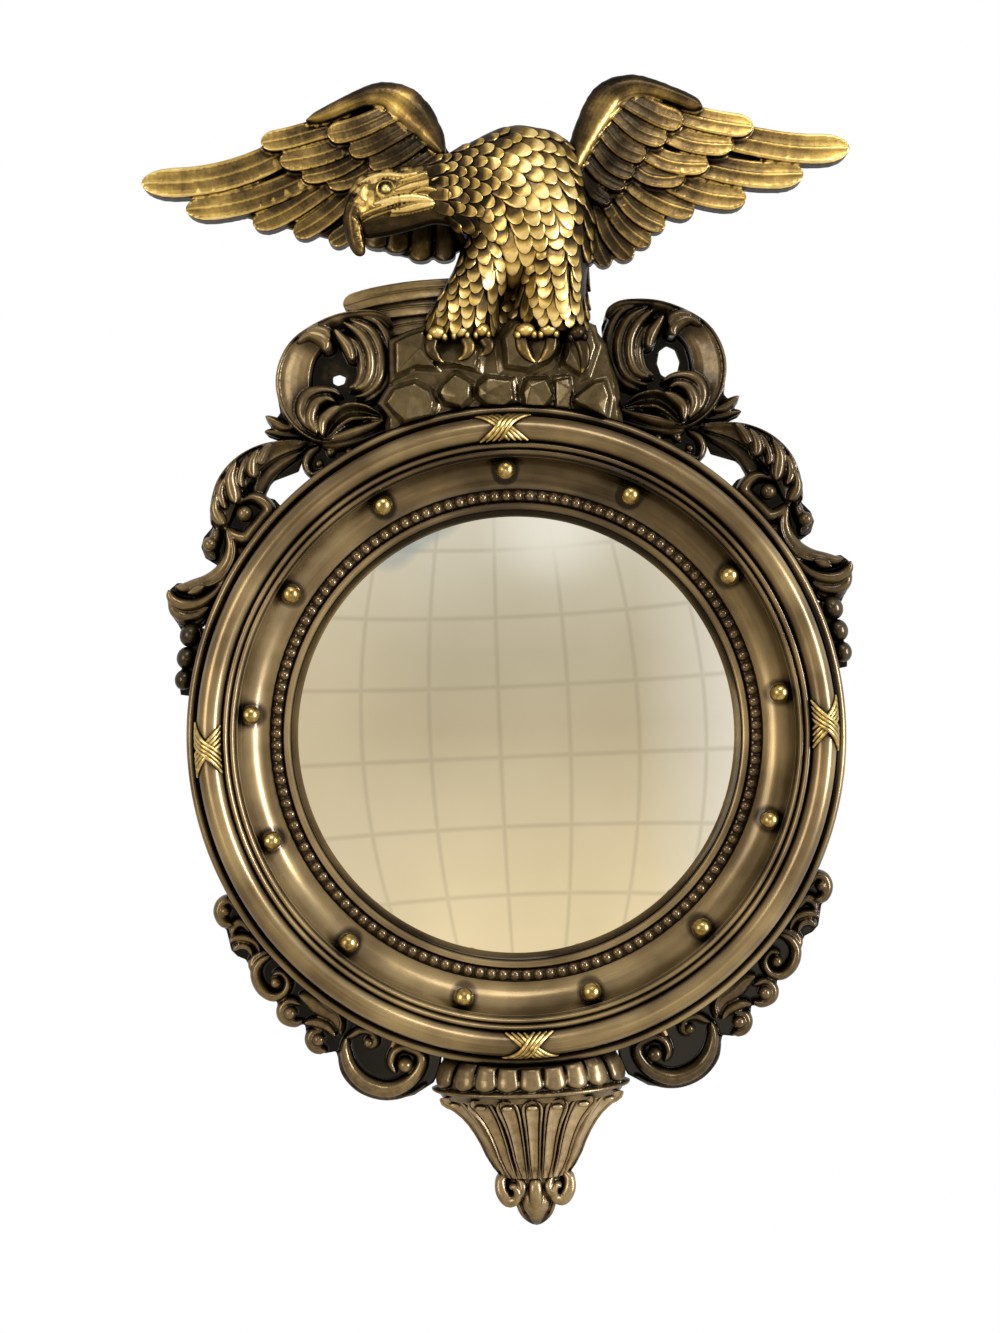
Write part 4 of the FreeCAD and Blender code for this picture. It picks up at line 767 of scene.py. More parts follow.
# Feathers of the left wing; the head hides the root of the lowest
left_primaries = [
    ([(-105.6, 338.7), (-133.9, 325.5), (-164.3, 318.8), (-197.2, 318.6)], 7.2),
    ([(-93.3, 324.3), (-118.4, 312.6), (-145.5, 305.2), (-173.0, 302.8)], 6.4),
    ([(-84.9, 319.6), (-101.4, 308.7), (-117.9, 299.2), (-135.6, 292.7)], 5.8),
    ([(-75.5, 313.8), (-87.8, 301.6), (-99.9, 293.1), (-112.9, 286.4)], 5.2),
    ([(-65.1, 305.9), (-75.2, 293.6), (-84.1, 286.0), (-93.2, 280.9)], 4.5)]
left_middle = [
    ([(-82.6, 346.5), (-97.8, 343.3), (-113.0, 339.7), (-128.8, 337.3)], 5.3),
    ([(-70.1, 341.5), (-85.4, 333.1), (-101.6, 328.5), (-118.8, 326.6)], 5.6),
    ([(-66.1, 334.9), (-79.3, 325.4), (-92.3, 320.1), (-106.8, 317.7)], 4.8),
    ([(-56.6, 329.1), (-68.7, 320.6), (-79.7, 315.2), (-92.5, 312.8)], 4.4)]
left_small = [
    ([(-57.8, 349.7), (-68.8, 344.8), (-79.6, 341.5), (-91.1, 339.7)], 5.5),
    ([(-47.4, 342.8), (-58.4, 336.9), (-68.2, 332.4), (-79.5, 329.6)], 4.9),
    ([(-41.3, 334.0), (-50.2, 327.9), (-58.9, 324.0), (-68.6, 321.6)], 4.5),
    ([(-36.0, 324.0), (-44.0, 319.0), (-51.0, 315.5), (-59.0, 313.5)], 4.2)]
left_arm = [(-27.1, 326.2, 0.5), (-33.4, 337.7, 0.78), (-40.4, 347.6, 1.06), (-48.9, 356.1, 1.12),
    (-58.4, 361, 0.9), (-69.1, 360.2, 0.76), (-78.9, 356.8, 0.66), (-89.9, 352.1, 0.6), (-102.9, 347.3, 0.36)]


# Broad smooth feathers next to the body
left_inner = [([(-65.0, 300.0), (-66.0, 290.0), (-67.0, 282.0), (-68.0, 276.5)], 5.4),
              ([(-53.0, 297.0), (-54.4, 287.0), (-55.2, 280.0), (-55.8, 273.4)], 5.8),
              ([(-40.0, 294.0), (-41.4, 284.0), (-42.2, 276.0), (-42.8, 268.2)], 5.6),
              ([(-27.0, 294.0), (-28.0, 284.0), (-28.8, 276.0), (-29.2, 267.9)], 5.4)]
right_inner = [([(50.0, 300.0), (49.6, 286.0), (50.2, 274.0), (52.4, 262.5)], 3.6)]


def make_wing(side, layers, arm, backing):
    """Layers of feathers on a thin backing under a smooth arm that is gilt along its inner side."""
    wing = Carving()
    wing.plate([backing], 12.0)
    for rows, section, out, crown, more in layers:
        for index, (line, half) in enumerate(rows):
            # The root runs on under the layer above
            (ax, az), (bx, bz) = line[0], line[1]
            back = 6.0 / math.dist((ax, az), (bx, bz))
            line = [(ax + (ax - bx) * back, az + (az - bz) * back)] + line[1:]
            spot = [(x, z, out - 0.3 * index - (1.6 if step == 0 else 0.0)) for step, (x, z) in enumerate(line)]
            share = more - 0.045 * index
            shaded = [(across, height, gilt + share) for across, height, gilt in section]
            wing.feather(spot, half * 1.22, shaded, crown, WING_BACK, lean=-1.2 * side,
                         gilt=max(0.42 - 0.07 * index, 0.08) if more > -0.2 else 0.0)
    stations = []
    for index, (x, z, width) in enumerate(along_line(arm, ARM_STEPS)):
        ending = (math.sin(math.pi * min(index / ARM_STEPS * 4 + 0.12, 0.5))
                  * math.sin(math.pi * min((ARM_STEPS - index) / ARM_STEPS * 7 + 0.05, 0.5)))
        patch = 0.4 * noise.noise(Vector((index * 0.15, side, 0.2)))
        ragged = 1.0 + 0.07 * noise.noise(Vector((index * 0.9, side * 3, 4.2)))
        half = (7.2 + 1.8 * clamped((30 - index) / 14)) * width * ending * ragged
        stations.append((front_point(x, z, 21.0), OUTWARD, half, patch, 0.0))
    section = [(across, height, (0.36 if side < 0 else 0.18) - 0.42 * across * side) for across, height, gilt in ROUND]
    wing.blade(stations, section, 7.6, WING_BACK)
    return fused_gilt(wing, 0.64, 1)


right_backing = [(46, 300), (52, 324), (62, 346), (80, 354), (110, 346), (146, 331), (190, 324), (168, 313), (138, 300),
                 (110, 293), (92, 285), (80, 272), (64, 266), (54, 272)]
left_backing = [(-18, 320), (-30, 340), (-46, 354), (-68, 356), (-102, 345), (-138, 330), (-188, 321), (-166, 307),
                (-132, 296), (-112, 290), (-92, 284), (-76, 282), (-60, 275), (-46, 271), (-30, 271), (-18, 275)]
settle(make_wing(1, [(right_primaries, FEATHER, 16.0, 1.9, 0.19), (right_inner, ROUND, 15.0, 2.6, -0.42),
                     (right_middle, FEATHER, 20.5, 1.8, 0.24), (right_small, COVERT, 24.4, 1.7, -0.02)], right_arm,
                 right_backing), "carved_right_wing", ["right_wing"], eagle_gilding, 40.0)
settle(make_wing(-1, [(left_primaries, FEATHER, 16.0, 1.9, 0.18), (left_inner, ROUND, 15.5, 2.8, -0.42),
                      (left_middle, FEATHER, 20.5, 1.8, 0.12), (left_small, COVERT, 24.4, 1.7, 0.0)], left_arm,
                 left_backing), "carved_left_wing", ["left_wing"], eagle_gilding, 40.0)


# Level sections of the eagle: height, left, right, front
torso_rows = [(338.0, 9, 21, 36), (335.5, -3, 32, 43), (330, -14, 41.5, 50), (321, -21, 47.5, 56),
              (310, -25, 50.8, 60), (298, -26.5, 53, 62), (285, -24.5, 54.8, 62.5), (273, -19.5, 55, 61),
              (262, -18, 52.5, 57), (254, -14, 49.5, 50), (249, -8, 45, 38)]
left_thigh_rows = [(274, -19.5, 15, 54), (262, -24, 12.5, 58), (250, -31, 9, 59), (240, -36.8, 3.5, 57),
                   (231, -40.6, 0.4, 53), (221, -40.5, -1.5, 49)]
right_thigh_rows = [(274, 18, 53, 55), (262, 12.5, 52, 59), (250, 10.4, 50.4, 60), (240, 10, 50, 58),
                    (231, 9.6, 51, 54), (221, 10.5, 50.5, 49)]
leg_web_rows = [(262, -16, 46, 30), (240, -26, 44, 26), (222, -32, 46, 24)]
# Sections of the neck and skull towards the beak: across, top, bottom, middle out, half depth
neck_rows = [(14, 331, 282, 40, 20), (-4, 330.5, 276.5, 43, 18.5), (-16.2, 324.2, 275.3, 47, 15.5),
    (-24.5, 321.1, 280.8, 48, 14), (-32.6, 317.9, 282.2, 49, 13), (-41, 314.9, 280.5, 49.3, 12.4),
    (-49.2, 313.8, 278.7, 49.5, 12), (-57.5, 313.5, 277, 49.5, 11.6), (-65.8, 312.6, 276.1, 49.5, 10.8),
    (-71.5, 311, 276.4, 49.5, 9.8), (-75.5, 307.3, 283.9, 49.5, 8.4), (-78.8, 302.5, 289, 49.5, 6.6)]
# The upper beak: outer and inner point of each section, then its half depth
beak_rows = [((-77.6, 303.6), (-63.4, 290.7), 8), ((-80.9, 295.5), (-70.1, 288.5), 7.6),
    ((-83.1, 288.2), (-71.7, 285.3), 7), ((-82.8, 281.7), (-71.5, 281.2), 6),
    ((-81.5, 275.9), (-71.5, 277.1), 5), ((-79.2, 270), (-71.4, 272.1), 4), ((-76.7, 267), (-71.4, 269.3), 2.8),
    ((-73.9, 266.3), (-71.8, 267.6), 1.2)]
# Folds of brow, cheek and lips: line, half width, rise, gilding
head_folds = [
    ([(-72.5, 305), (-67.1, 307.2), (-61.3, 308.6), (-54.8, 308.4), (-48.3, 307.4), (-41.3, 308.8)], 1.7, 1.7, 0.9),
    ([(-53.6, 299), (-45.3, 301.1), (-37.1, 302.6), (-29.3, 305.2)], 2, 1.5, 0.85),
    ([(-43.9, 297.5), (-37.3, 299.4), (-30.6, 298.1)], 1.7, 1.4, 0.6),
    ([(-65.3, 292.4), (-57, 294), (-47.2, 294.9), (-39.1, 294.3), (-33.1, 292.8)], 2.6, 1.5, 0.85),
    ([(-55.7, 287.7), (-47.5, 289.2), (-39.3, 290.8), (-32.7, 290.8)], 2.3, 1.4, 0.75),
    ([(-70, 302.8), (-71, 298.8), (-70.2, 294.7)], 2, 1.3, 0.75),
    ([(-73.3, 286.3), (-68.7, 288.3), (-62.9, 290.1), (-51.4, 292.9)], 1.1, 1.3, 0.6),
    ([(-72.6, 283), (-68, 285.2), (-62.6, 287), (-51.5, 289.7)], 1.2, 1.3, 0.3),
    ([(-50.9, 304.5), (-43.5, 305.8), (-36.1, 308.3)], 1.6, 1.2, 0.7),
    ([(-77.7, 286.9), (-75, 283.1), (-74.1, 276.9), (-72.5, 270.4)], 1.4, 1.2, 0.5)]
EYE = (-58.6, 300.5)
MOUTH = (-72.5, 285)
HEAD_OUT = 49.5
BEAK_SWELL = 1.12


def level_ring(z, left, right, front, segments=26):
    """A half-oval section with a flat back, at one height."""
    middle, half = (left + right) / 2, (right - left) / 2
    ring = []
    for step in range(segments + 1):
        turn = math.pi * step / segments
        rise = max(math.sin(turn), 0.0) ** 0.62
        ring.append(front_point(middle - half * math.cos(turn), z, WING_BACK + (front - WING_BACK) * rise))
    return ring


def oval_ring(upper, lower, out, half_depth, segments=20):
    """A closed oval section between two points of a profile."""
    ring = []
    for step in range(segments):
        turn = 2 * math.pi * step / segments
        share = (1 - math.cos(turn)) / 2
        ring.append(front_point(upper[0] + (lower[0] - upper[0]) * share, upper[1] + (lower[1] - upper[1]) * share,
                                out + half_depth * math.sin(turn)))
    return ring


def make_body_form():
    """Torso, thighs and neck, fused into one smooth form."""
    form = Carving()
    for rows in (torso_rows, left_thigh_rows, right_thigh_rows, leg_web_rows):
        path = along_line(rows, 3 * (len(rows) - 1))
        rings = [level_ring(*row) for row in path]
        form.shell(rings, 0.2)
    rings = [oval_ring((x, top), (x, low), out, half) for x, top, low, out, half in neck_rows[:4]]
    form.shell(rings, 0.2)
    return fused(form.piece(), 1.4, 7)


# Lines that the feathers of neck, breast and thighs follow, from the head down, from the throat to the back
flow_lines = [
    [(-28.4, 282.1), (-20.4, 277.2), (-21, 271), (-20, 265), (-23, 257), (-30, 246), (-37, 235), (-40, 225)],
    [(-31.3, 290), (-19.8, 291.1), (-12, 291), (-5, 281), (-4, 267), (-9, 253), (-17, 240), (-22, 225)],
    [(-33.3, 299.9), (-20.9, 304.2), (-3, 306), (13, 295), (17, 280), (12, 263), (2, 247), (-3, 225)],
    [(-37, 308.6), (-23.8, 312.5), (6, 320), (28, 310), (36, 293), (35, 272), (28, 251), (22, 225)],
    [(-38.4, 314), (-25.2, 318.7), (10, 334), (38, 328), (50, 308), (54, 284), (52, 256), (50, 225)]]
# Back edge of the head, where the first neck feathers start: (x, z)
NAPE = [(-39.0, 330.0), (-35.5, 312.0), (-33.5, 300.0), (-31.5, 288.0), (-26.0, 268.0)]


def flow_direction(x, z):
    """Which way the feathers point at a place: the tangents of the near flow lines, weighed by distance."""
    total = Vector((0.0, 0.0))
    for line in flow_lines:
        for (ax, az), (bx, bz) in zip(line, line[1:]):
            middle = Vector(((ax + bx) / 2, (az + bz) / 2))
            tangent = Vector((bx - ax, bz - az)).normalized()
            total += tangent / ((Vector((x, z)) - middle).length_squared + 30.0)
    return total.normalized()


def feather_width(x, z):
    """Neck feathers are small, breast feathers broad, and they narrow again down the legs."""
    width = 6.6 + 2.8 * clamped((x + 18.0) / 26.0)
    return min(width, 9.4 - 2.8 * clamped((272.0 - z) / 44.0))


def feather_places():
    """Roots in rows from the back downwards, each kept clear of those before it."""
    places = []
    for row in range(96):
        for column in range(82):
            x = -42.0 + 1.25 * column + 0.6 * (row % 2)
            z = 340.0 - 1.25 * row
            edge = [a[0] + (b[0] - a[0]) * (a[1] - z) / (a[1] - b[1])
                    for a, b in zip(NAPE, NAPE[1:]) if b[1] <= z <= a[1]]
            if edge and x < edge[0]:
                continue
            width, heading = feather_width(x, z), flow_direction(x, z)
            for other in places:
                apart = Vector((x - other[0], z - other[1]))
                ahead = apart.dot(heading) / 0.78
                aside = apart.x * heading.y - apart.y * heading.x
                if ahead * ahead + aside * aside < (0.9 * width) ** 2:
                    break
            else:
                places.append((x, z))
    return places


scale_side = [(-1, 0, 0.0), (-0.9, 0.6, 0.5), (-0.68, 0.68, 0.25), (-0.2, 0.82, 0.2)]
SCALE = scale_side + mirrored(scale_side)
# Stations of a body feather: share of its length, share of its width
COAT_STATIONS = ((0.0, 0.75), (0.3, 0.98), (0.58, 1.0), (0.78, 0.86), (0.9, 0.62), (0.97, 0.36), (1.0, 0.05))


def make_feather_coat(forms):
    """Overlapping feathers laid on the body, dark at the root and rubbed bright at the tip."""
    points, faces = [], []
    for form in forms:
        faces += [[len(points) + index for index in face.vertices] for face in form.data.polygons]
        points += [vertex.co / MM for vertex in form.data.vertices]
    tree = BVHTree.FromPolygons(points, faces)
    coat = Carving()
    for number, (root_x, root_z) in enumerate(feather_places()):
        jitter = noise.noise(Vector((number * 1.7, 0.3, 0.5)))
        width = feather_width(root_x, root_z)
        heading = flow_direction(root_x, root_z)
        heading = Vector((heading.x - 0.25 * jitter * heading.y, heading.y + 0.25 * jitter * heading.x)).normalized()
        pointed = 0.1 + 0.3 * clamped((262.0 - root_z) / 40.0)
        breast = clamped((root_x + 16.0) / 22.0)
        legs = clamped((276.0 - root_z) / 16.0)
        gold = 0.3 * max(breast, 1.2 * legs) - 0.1 - 0.16 * clamped((root_x - 36.0) / 12.0) + 0.35 * jitter
        stations = []
        for share, wide in COAT_STATIONS:
            reach = width * (1.75 + 0.3 * jitter) * (share - 0.15)
            x, z = root_x + heading.x * reach, root_z + heading.y * reach
            hit, normal = tree.ray_cast(Vector((x, -120, z)), Vector((0, 1, 0)))[:2]
            if hit is None or normal.y > -0.04:
                break
            lift = -0.5 + 2.2 * share
            wide = wide - pointed * share * (1 - share)
            rubbed = gold + (0.5 if share > 0.75 else -0.2 * (1 - share))
            stations.append((hit + normal * lift, normal, 0.57 * width * wide, rubbed, 0.0))
        if len(stations) == len(COAT_STATIONS):
            coat.blade(stations, SCALE, 0.8, depth=1.3)
    return coat.piece()


def head_front(x, z):
    """How far the skull or beak stands from the wall at a place."""
    reach = [0.0]
    for ahead, behind in zip(neck_rows, neck_rows[1:]):
        if behind[0] <= x <= ahead[0]:
            share = (ahead[0] - x) / (ahead[0] - behind[0])
            top, low, out, half = [a + (b - a) * share for a, b in zip(ahead[1:], behind[1:])]
            across = (z - (top + low) / 2) / ((top - low) / 2)
            reach.append(out + half * math.sqrt(max(1 - across * across, 0.0)))
    for outer, inner, half in beak_rows:
        middle = ((outer[0] + inner[0]) / 2, (outer[1] + inner[1]) / 2)
        wide = math.dist(outer, inner) / 2
        away = math.dist(middle, (x, z)) / wide
        if away < 1:
            reach.append(HEAD_OUT + half * BEAK_SWELL * math.sqrt(1 - away * away))
    return max(reach)


def make_head():
    """Skull with folds, eye and hooked beak, fused into one form; painted shade below the mouth, over jaw and throat.
    """
    head = Carving()
    path = along_line(neck_rows[3:], 4 * (len(neck_rows) - 4))
    rings = [oval_ring((x, top), (x, low), out, half, 28) for x, top, low, out, half in path]
    shares = []
    for ring in rings:
        row = []
        for point in ring:
            # Painted shade: no gilding below the line of the mouth, where jaw and throat lie in shadow
            above = point.z - MOUTH[1] - 0.42 * max(point.x - MOUTH[0], 0.0)
            near_eye = math.dist((point.x, point.z), EYE) < 5.4
            patch = 1.1 * noise.noise(Vector((point.x * 0.2, 2.0, point.z * 0.24)))
            row.append(0.0 if near_eye or above < 0 else 0.42 + patch)
        shares.append(row)
    head.shell(rings, shares)
    beak = along_line([(*outer, *inner, half) for outer, inner, half in beak_rows], 26)
    rings = [oval_ring((ox, oz), (ix, iz), HEAD_OUT, half * BEAK_SWELL) for ox, oz, ix, iz, half in beak]
    head.shell(rings, 0.24)
    for line, half, crown, gilt in head_folds:
        stations = []
        for index, (x, z) in enumerate(along_line(line, 14)):
            ending = math.sin(math.pi * min(max(index / 14, 0.03), 0.97)) ** 0.5
            stations.append((front_point(x, z, head_front(x, z) - 1.0), OUTWARD, half * ending, gilt - 0.5, 0.0))
        head.blade(stations, ROUND, crown + 1.0, depth=3.0)
    eye = front_point(*EYE, head_front(*EYE) - 0.4)
    for step in range(36):
        turn = 2 * math.pi * step / 36
        head.mound(eye + Vector((4.8 * math.cos(turn), -0.2, 4.4 * math.sin(turn))), (0.65, 0.65, 0.9), 6, 4, 0.8)
    head.mound(eye, (2.8, 2.8, 2.4), 20, 10, 1.0)
    return fused_gilt(head, 0.5, 2)


eagle_head = make_head()
settle(eagle_head, "carved_eagle_head", ["eagle_head"], eagle_gilding, 45.0)
body_form = make_body_form()
feather_coat = make_feather_coat([body_form, eagle_head])
eagle_body = join([set_gilt(body_form, [0.08] * len(body_form.data.vertices)), feather_coat])
settle(eagle_body, "carved_eagle_body", ["eagle_body"], eagle_gilding, 45.0)


tail_feathers = [([(-22, 252.5), (-48, 251.5), (-70, 248.6), (-86.6, 244.4)], 5.6),
                 ([(-24, 243.0), (-48, 242.6), (-66, 240.8), (-78.5, 237.6)], 5.4),
                 ([(-26, 234.0), (-42, 233.8), (-56, 232.2), (-68.0, 229.4)], 5.2),
                 ([(-28, 226.0), (-38, 226.0), (-50, 224.8), (-58.0, 222.6)], 4.8)]


def make_tail():
    """Four long feathers, the upper ones further out."""
    tail = Carving()
    for index, (line, half) in enumerate(tail_feathers):
        spot = [(x, z, 19.5 - 1.3 * index) for x, z in line]
        tail.feather(spot, half, FEATHER, 2.0, WING_BACK, lean=0.9, tip=0.86, gilt=-0.05)
    return tail.piece()


settle(make_tail(), "carved_tail", ["eagle_tail"], tail_paint, 40.0)

# Toes: knuckle (x, z), its half width and gilding, and the line of its claw
left_toes = [
    ((-34.2, 222.7), 5.9, 0.9, [(-37.1, 220.2), (-38.1, 214.6), (-35.1, 210.1), (-31.6, 207.3)]),
    ((-21.4, 223.2), 5.4, 1, [(-18.6, 219.9), (-17, 215), (-19, 210.7), (-23.1, 208.3)]),
    ((-9.6, 223), 5, 0.85, [(-8.4, 219.2), (-6.5, 215.5), (-7.4, 212.3), (-10.9, 210.1)])]
right_toes = [
    ((14.4, 221.9), 6.6, 0.9, [(11.6, 218.1), (12.4, 213.1), (15.1, 208.7), (18.7, 205.2)]),
    ((26.7, 221.7), 6.2, 0.9, [(28.4, 217.4), (27.4, 212.4), (24.6, 208.3), (20.5, 205.1)]),
    ((42.7, 219.4), 5.6, 0.15, [(44.4, 215.4), (46, 209.7), (46, 203.7), (44.2, 198.3)])]


def make_foot_piece(toes):
    """Three broad knuckled toes over the rock, each with a dark claw that curves down to its point."""
    foot = Carving()
    for (x, z), half, gilt, claw in toes:
        out = 45.0
        foot.mound(front_point(x, z + 0.8, out), (half * 0.95, 4.4, 6.6), 20, 8, gilt)
        for aside in (-0.68, 0.68):
            foot.mound(front_point(x + half * aside, z - 1.6, out - 0.4), (half * 0.4, 3.0, 5.6), 16, 8, gilt)
        widths = along_line([(3.6, 0.4), (3.5, 0.9), (2.7, 0.0), (0.6, -2.2)], 12)
        stations = [(front_point(cx, cz, out + ahead), OUTWARD, wide, -0.5 + 0.5 * (wide < 1.2), 0.0)
                    for (cx, cz), (wide, ahead) in zip(along_line(claw, 12), widths)]
        foot.blade(stations, ROUND, 2.4, depth=2.2)
    return foot.piece()


settle(make_foot_piece(left_toes), "carved_left_foot", ["left_foot"], eagle_gilding, 50.0)
settle(make_foot_piece(right_toes), "carved_right_foot", ["right_foot"], eagle_gilding, 50.0)


# Sections of scrolls: a hollow band with a bright rim, a scooped leaf and flat ground
HOLLOW = [(-1, 0, 0.1), (-0.94, 0.3, 0.3), (-0.7, 0.3, 0.2), (-0.3, 0.42, 0.3), (0.1, 0.6, 0.4), (0.45, 0.78, 0.35),
          (0.66, 0.84, 0.2), (0.74, 0.8, 0.1), (0.8, 1.0, 0.9), (0.9, 1.06, 1.0), (0.97, 0.92, 0.6), (1, 0.3, 0.2)]
scoop_side = [(-1, 0, 0.2), (-0.94, 0.8, 0.8), (-0.8, 1.0, 1.0), (-0.66, 0.86, 0.6), (-0.4, 0.4, 0.1)]
SCOOP = scoop_side + [(0, 0.2, 0.2)] + mirrored(scoop_side)
FLAT = [(-1, 0, 0), (-0.9, 0.9, 0), (0, 1, 0), (0.9, 0.9, 0), (1, 0, 0)]

# Strokes of the right side: section, height of the edge, rise, then (x, z, half width) along each
crest_strokes = [
    (HOLLOW, 19, 9, [(59.4, 231.7, 2.6), (67.5, 236, 3.8), (78.1, 236, 4.7), (90, 233.7, 5.4), (101.8, 227.6,
      6.6), (110.8, 219.8, 8), (115.5, 209.6, 9.2), (116.6, 199.1, 9.4), (115, 188.4, 8), (110.2, 178.8, 5.9),
      (102.9, 172.3, 3.8), (95, 169.9, 2.4)]),
    (ROUND, 17, 8, [(78, 237.7, 1.9), (67.6, 233.5, 3.3), (62, 222.6, 4), (61.3, 210.8, 4.2), (64.3, 200.4,
      3.8), (70.5, 193.6, 2.8), (77.1, 189.7, 1.4)]),
    (ROUND, 21, 8, [(82.8, 235.3, 1.9), (72.7, 229.2, 3.3), (67.3, 219.3, 3.8), (66.5, 208.7, 3.8), (69.6,
      199.4, 3.3), (76.4, 193.8, 2.1), (81.7, 192.3, 0.9)]),
    (ROUND, 24, 8, [(86.4, 233.7, 1.6), (78.2, 227.4, 3.1), (73, 218.4, 3.5), (72.2, 207.8, 3.5), (75.4, 199.7,
      3.1), (81.6, 196.2, 1.6)]),
    (ROUND, 22, 8, [(88.4, 227.9, 1.2), (80.1, 222, 2.6), (77.2, 213.9, 3.1), (77.3, 205.6, 3.1), (79.9, 199.8,
      2.6), (85, 197, 1.2)]),
    (ROUND, 27, 6.5, [(91.5, 229.8, 1.4), (88.5, 225.9, 2.6), (84.6, 220.6, 3.5), (82.8, 214.7, 2.8), (82.9,
      212.3, 1.6)]),
    (ROUND, 24, 8, [(112.8, 223.4, 1.2), (106.7, 227.5, 2.6), (100.3, 226.4, 4), (96.6, 222.7, 4), (97.4,
      218.2, 2.4)]),
    (ROUND, 27, 5, [(107.1, 229.7, 1.2), (101.9, 230.7, 2.4), (96.6, 228.8, 2.8), (93.9, 225.2, 1.9)]),
    (ROUND, 21, 8, [(108.2, 175.4, 2.6), (111.8, 184.7, 4.2), (109.6, 192.9, 4.2), (103.1, 196.8, 3.3), (95.1,
      196.5, 2.1), (89.9, 193.8, 1.2)]),
    (ROUND, 23.5, 8, [(103.6, 172.6, 2.4), (106.8, 181, 4), (104.1, 189.1, 3.8), (97.8, 192.1, 2.4), (92.8,
      189.8, 1.2)]),
    (ROUND, 25, 7, [(100.6, 171.3, 2.4), (100.8, 178.8, 3.5), (95.6, 184.6, 3.3), (89.6, 187.3, 1.6)]),
    (SCOOP, 22.5, 8, [(99.7, 170.6, 2.6), (94.7, 178.1, 4.5), (86.7, 183.9, 5.4), (78, 184, 4.5), (71.6, 182.1,
      2.6), (66.6, 180.4, 0.8)]),
    (ROUND, 19, 7, [(102.1, 169.5, 2.1), (91.4, 172.1, 3.5), (80.7, 174.9, 3.3), (71.7, 177.6, 2.4), (65.7,
      179.2, 0.9)]),
    (ROUND, 12, 6, [(100.8, 166.8, 1.9), (89.2, 167.8, 3.1), (78.5, 170.1, 3.1), (69, 173.3, 2.6), (61.8,
      175.5, 1.6)]),
    (ROUND, 12, 6, [(117.1, 177.9, 2.1), (124.1, 179.4, 3.5), (130, 182.9, 2.6), (133, 185.4, 0.9)]),
    (ROUND, 10, 5, [(113.7, 173, 1.9), (123.1, 174.6, 3.1), (131.2, 176.4, 2.1), (134.5, 176.5, 0.9)]),
    (ROUND, 10, 6, [(103.4, 167.3, 1.6), (109.2, 164, 2.4), (112, 157.7, 2.4), (109.7, 151.9, 2.1), (104.3,
      151.2, 1.6), (101.8, 154.9, 0.9)]),
    (ROUND, 11, 5, [(102.2, 167.2, 1.6), (96.3, 167, 2.6), (91.1, 165.6, 1.9)])]
side_strokes = [
    (HOLLOW, 12, 8, [(110.5, 169.1, 1.6), (122.9, 167.5, 3.4), (134.6, 164.2, 5.4), (145.6, 157.4, 7.1),
      (153.8, 148.1, 7.9), (158.7, 137.7, 7.1), (161.3, 128.2, 5.4), (162.9, 122, 3.2)]),
    (ROUND, 7, 5, [(113.1, 165.2, 2.2), (125.7, 159.8, 4.4), (135, 153.1, 5.4), (139.5, 145.7, 5.4), (141.4,
      138.7, 4.4)]),
    (ROUND, 18, 5.5, [(129.4, 169.3, 1.2), (133.7, 165.4, 2.6), (136.2, 161.2, 2.8), (137.3, 157.5, 2)]),
    (ROUND, 18, 6.5, [(137.3, 166, 1.4), (140.9, 160.3, 3.2), (141.9, 155, 3.8), (140.6, 150.7, 2.6)]),
    (ROUND, 18, 5, [(143.6, 162.9, 1), (147.3, 156, 2.2), (148.7, 149, 2.2), (147.4, 145.3, 1.2)]),
    (ROUND, 18, 6.5, [(149.8, 159.9, 1.4), (153.7, 151.1, 3.6), (152.9, 142.6, 4.2), (151.1, 136.4, 2.8)]),
    (ROUND, 17.5, 5.5, [(156.3, 151.6, 1.2), (159.7, 144.3, 2.8), (159.3, 138, 3), (157.1, 133.9, 1.8)]),
    (ROUND, 17, 6.5, [(161.8, 142.1, 1.2), (163.5, 134.3, 3), (161.5, 128.2, 3.6), (158.1, 125.1, 2.2)]),
    (ROUND, 10.5, 7, [(159.6, 124.1, 2), (152.7, 118, 3.6), (143.2, 117.1, 4.2), (135.4, 122.3, 4.2), (132.6,
      129.8, 4), (135.8, 136.5, 3.8), (141.9, 139.9, 3), (147.5, 138.8, 2), (150.6, 135.7, 1.2)]),
    (ROUND, 11, 7, [(163, 125.2, 2.4), (164.2, 119.2, 3), (166.8, 114.1, 3.8), (167.7, 110.8, 3)]),
    (ROUND, 7, 5, [(168.9, 116.3, 3.4), (167.9, 110.8, 4.2), (165, 105.9, 2)]),
    (ROUND, 12, 6.5, [(157.6, 122, 2), (155.7, 113.4, 3.4), (157.4, 104.9, 4.2), (162.6, 98.2, 4.4), (169.8,
      93.8, 4.2), (177.3, 91.8, 3.8), (183.9, 90.4, 3), (187.8, 91.7, 1.4)]),
    (ROUND, 16, 3.5, [(154.2, 116.9, 1), (153.4, 108.8, 1.2), (156.5, 100.8, 1.2), (162.8, 93.8, 1.2), (171.8,
      90.4, 1)]),
    (ROUND, 14, 5, [(191.7, 90, 1.4), (190.3, 85, 2.8), (184.1, 81.3, 3.4), (175.1, 81.8, 3.4), (166.7, 86,
      2.8), (160.6, 92.9, 2), (157.1, 100.8, 1.2)]),
    (ROUND, 17, 5, [(180.7, 87.1, 1), (175.8, 88.8, 2.6), (170.9, 91, 1.4)]),
    (ROUND, 10, 6, [(191.9, 85.8, 1.4), (189.3, 78.2, 3.4), (183.8, 74.7, 3.8), (177.1, 75.3, 3.4), (169.6, 79,
      2.4)]),
    (ROUND, 8, 5, [(188.4, 74.1, 1.4), (184.5, 71, 2.8), (178.4, 70.8, 2.6), (172.3, 73.6, 1.8)])]
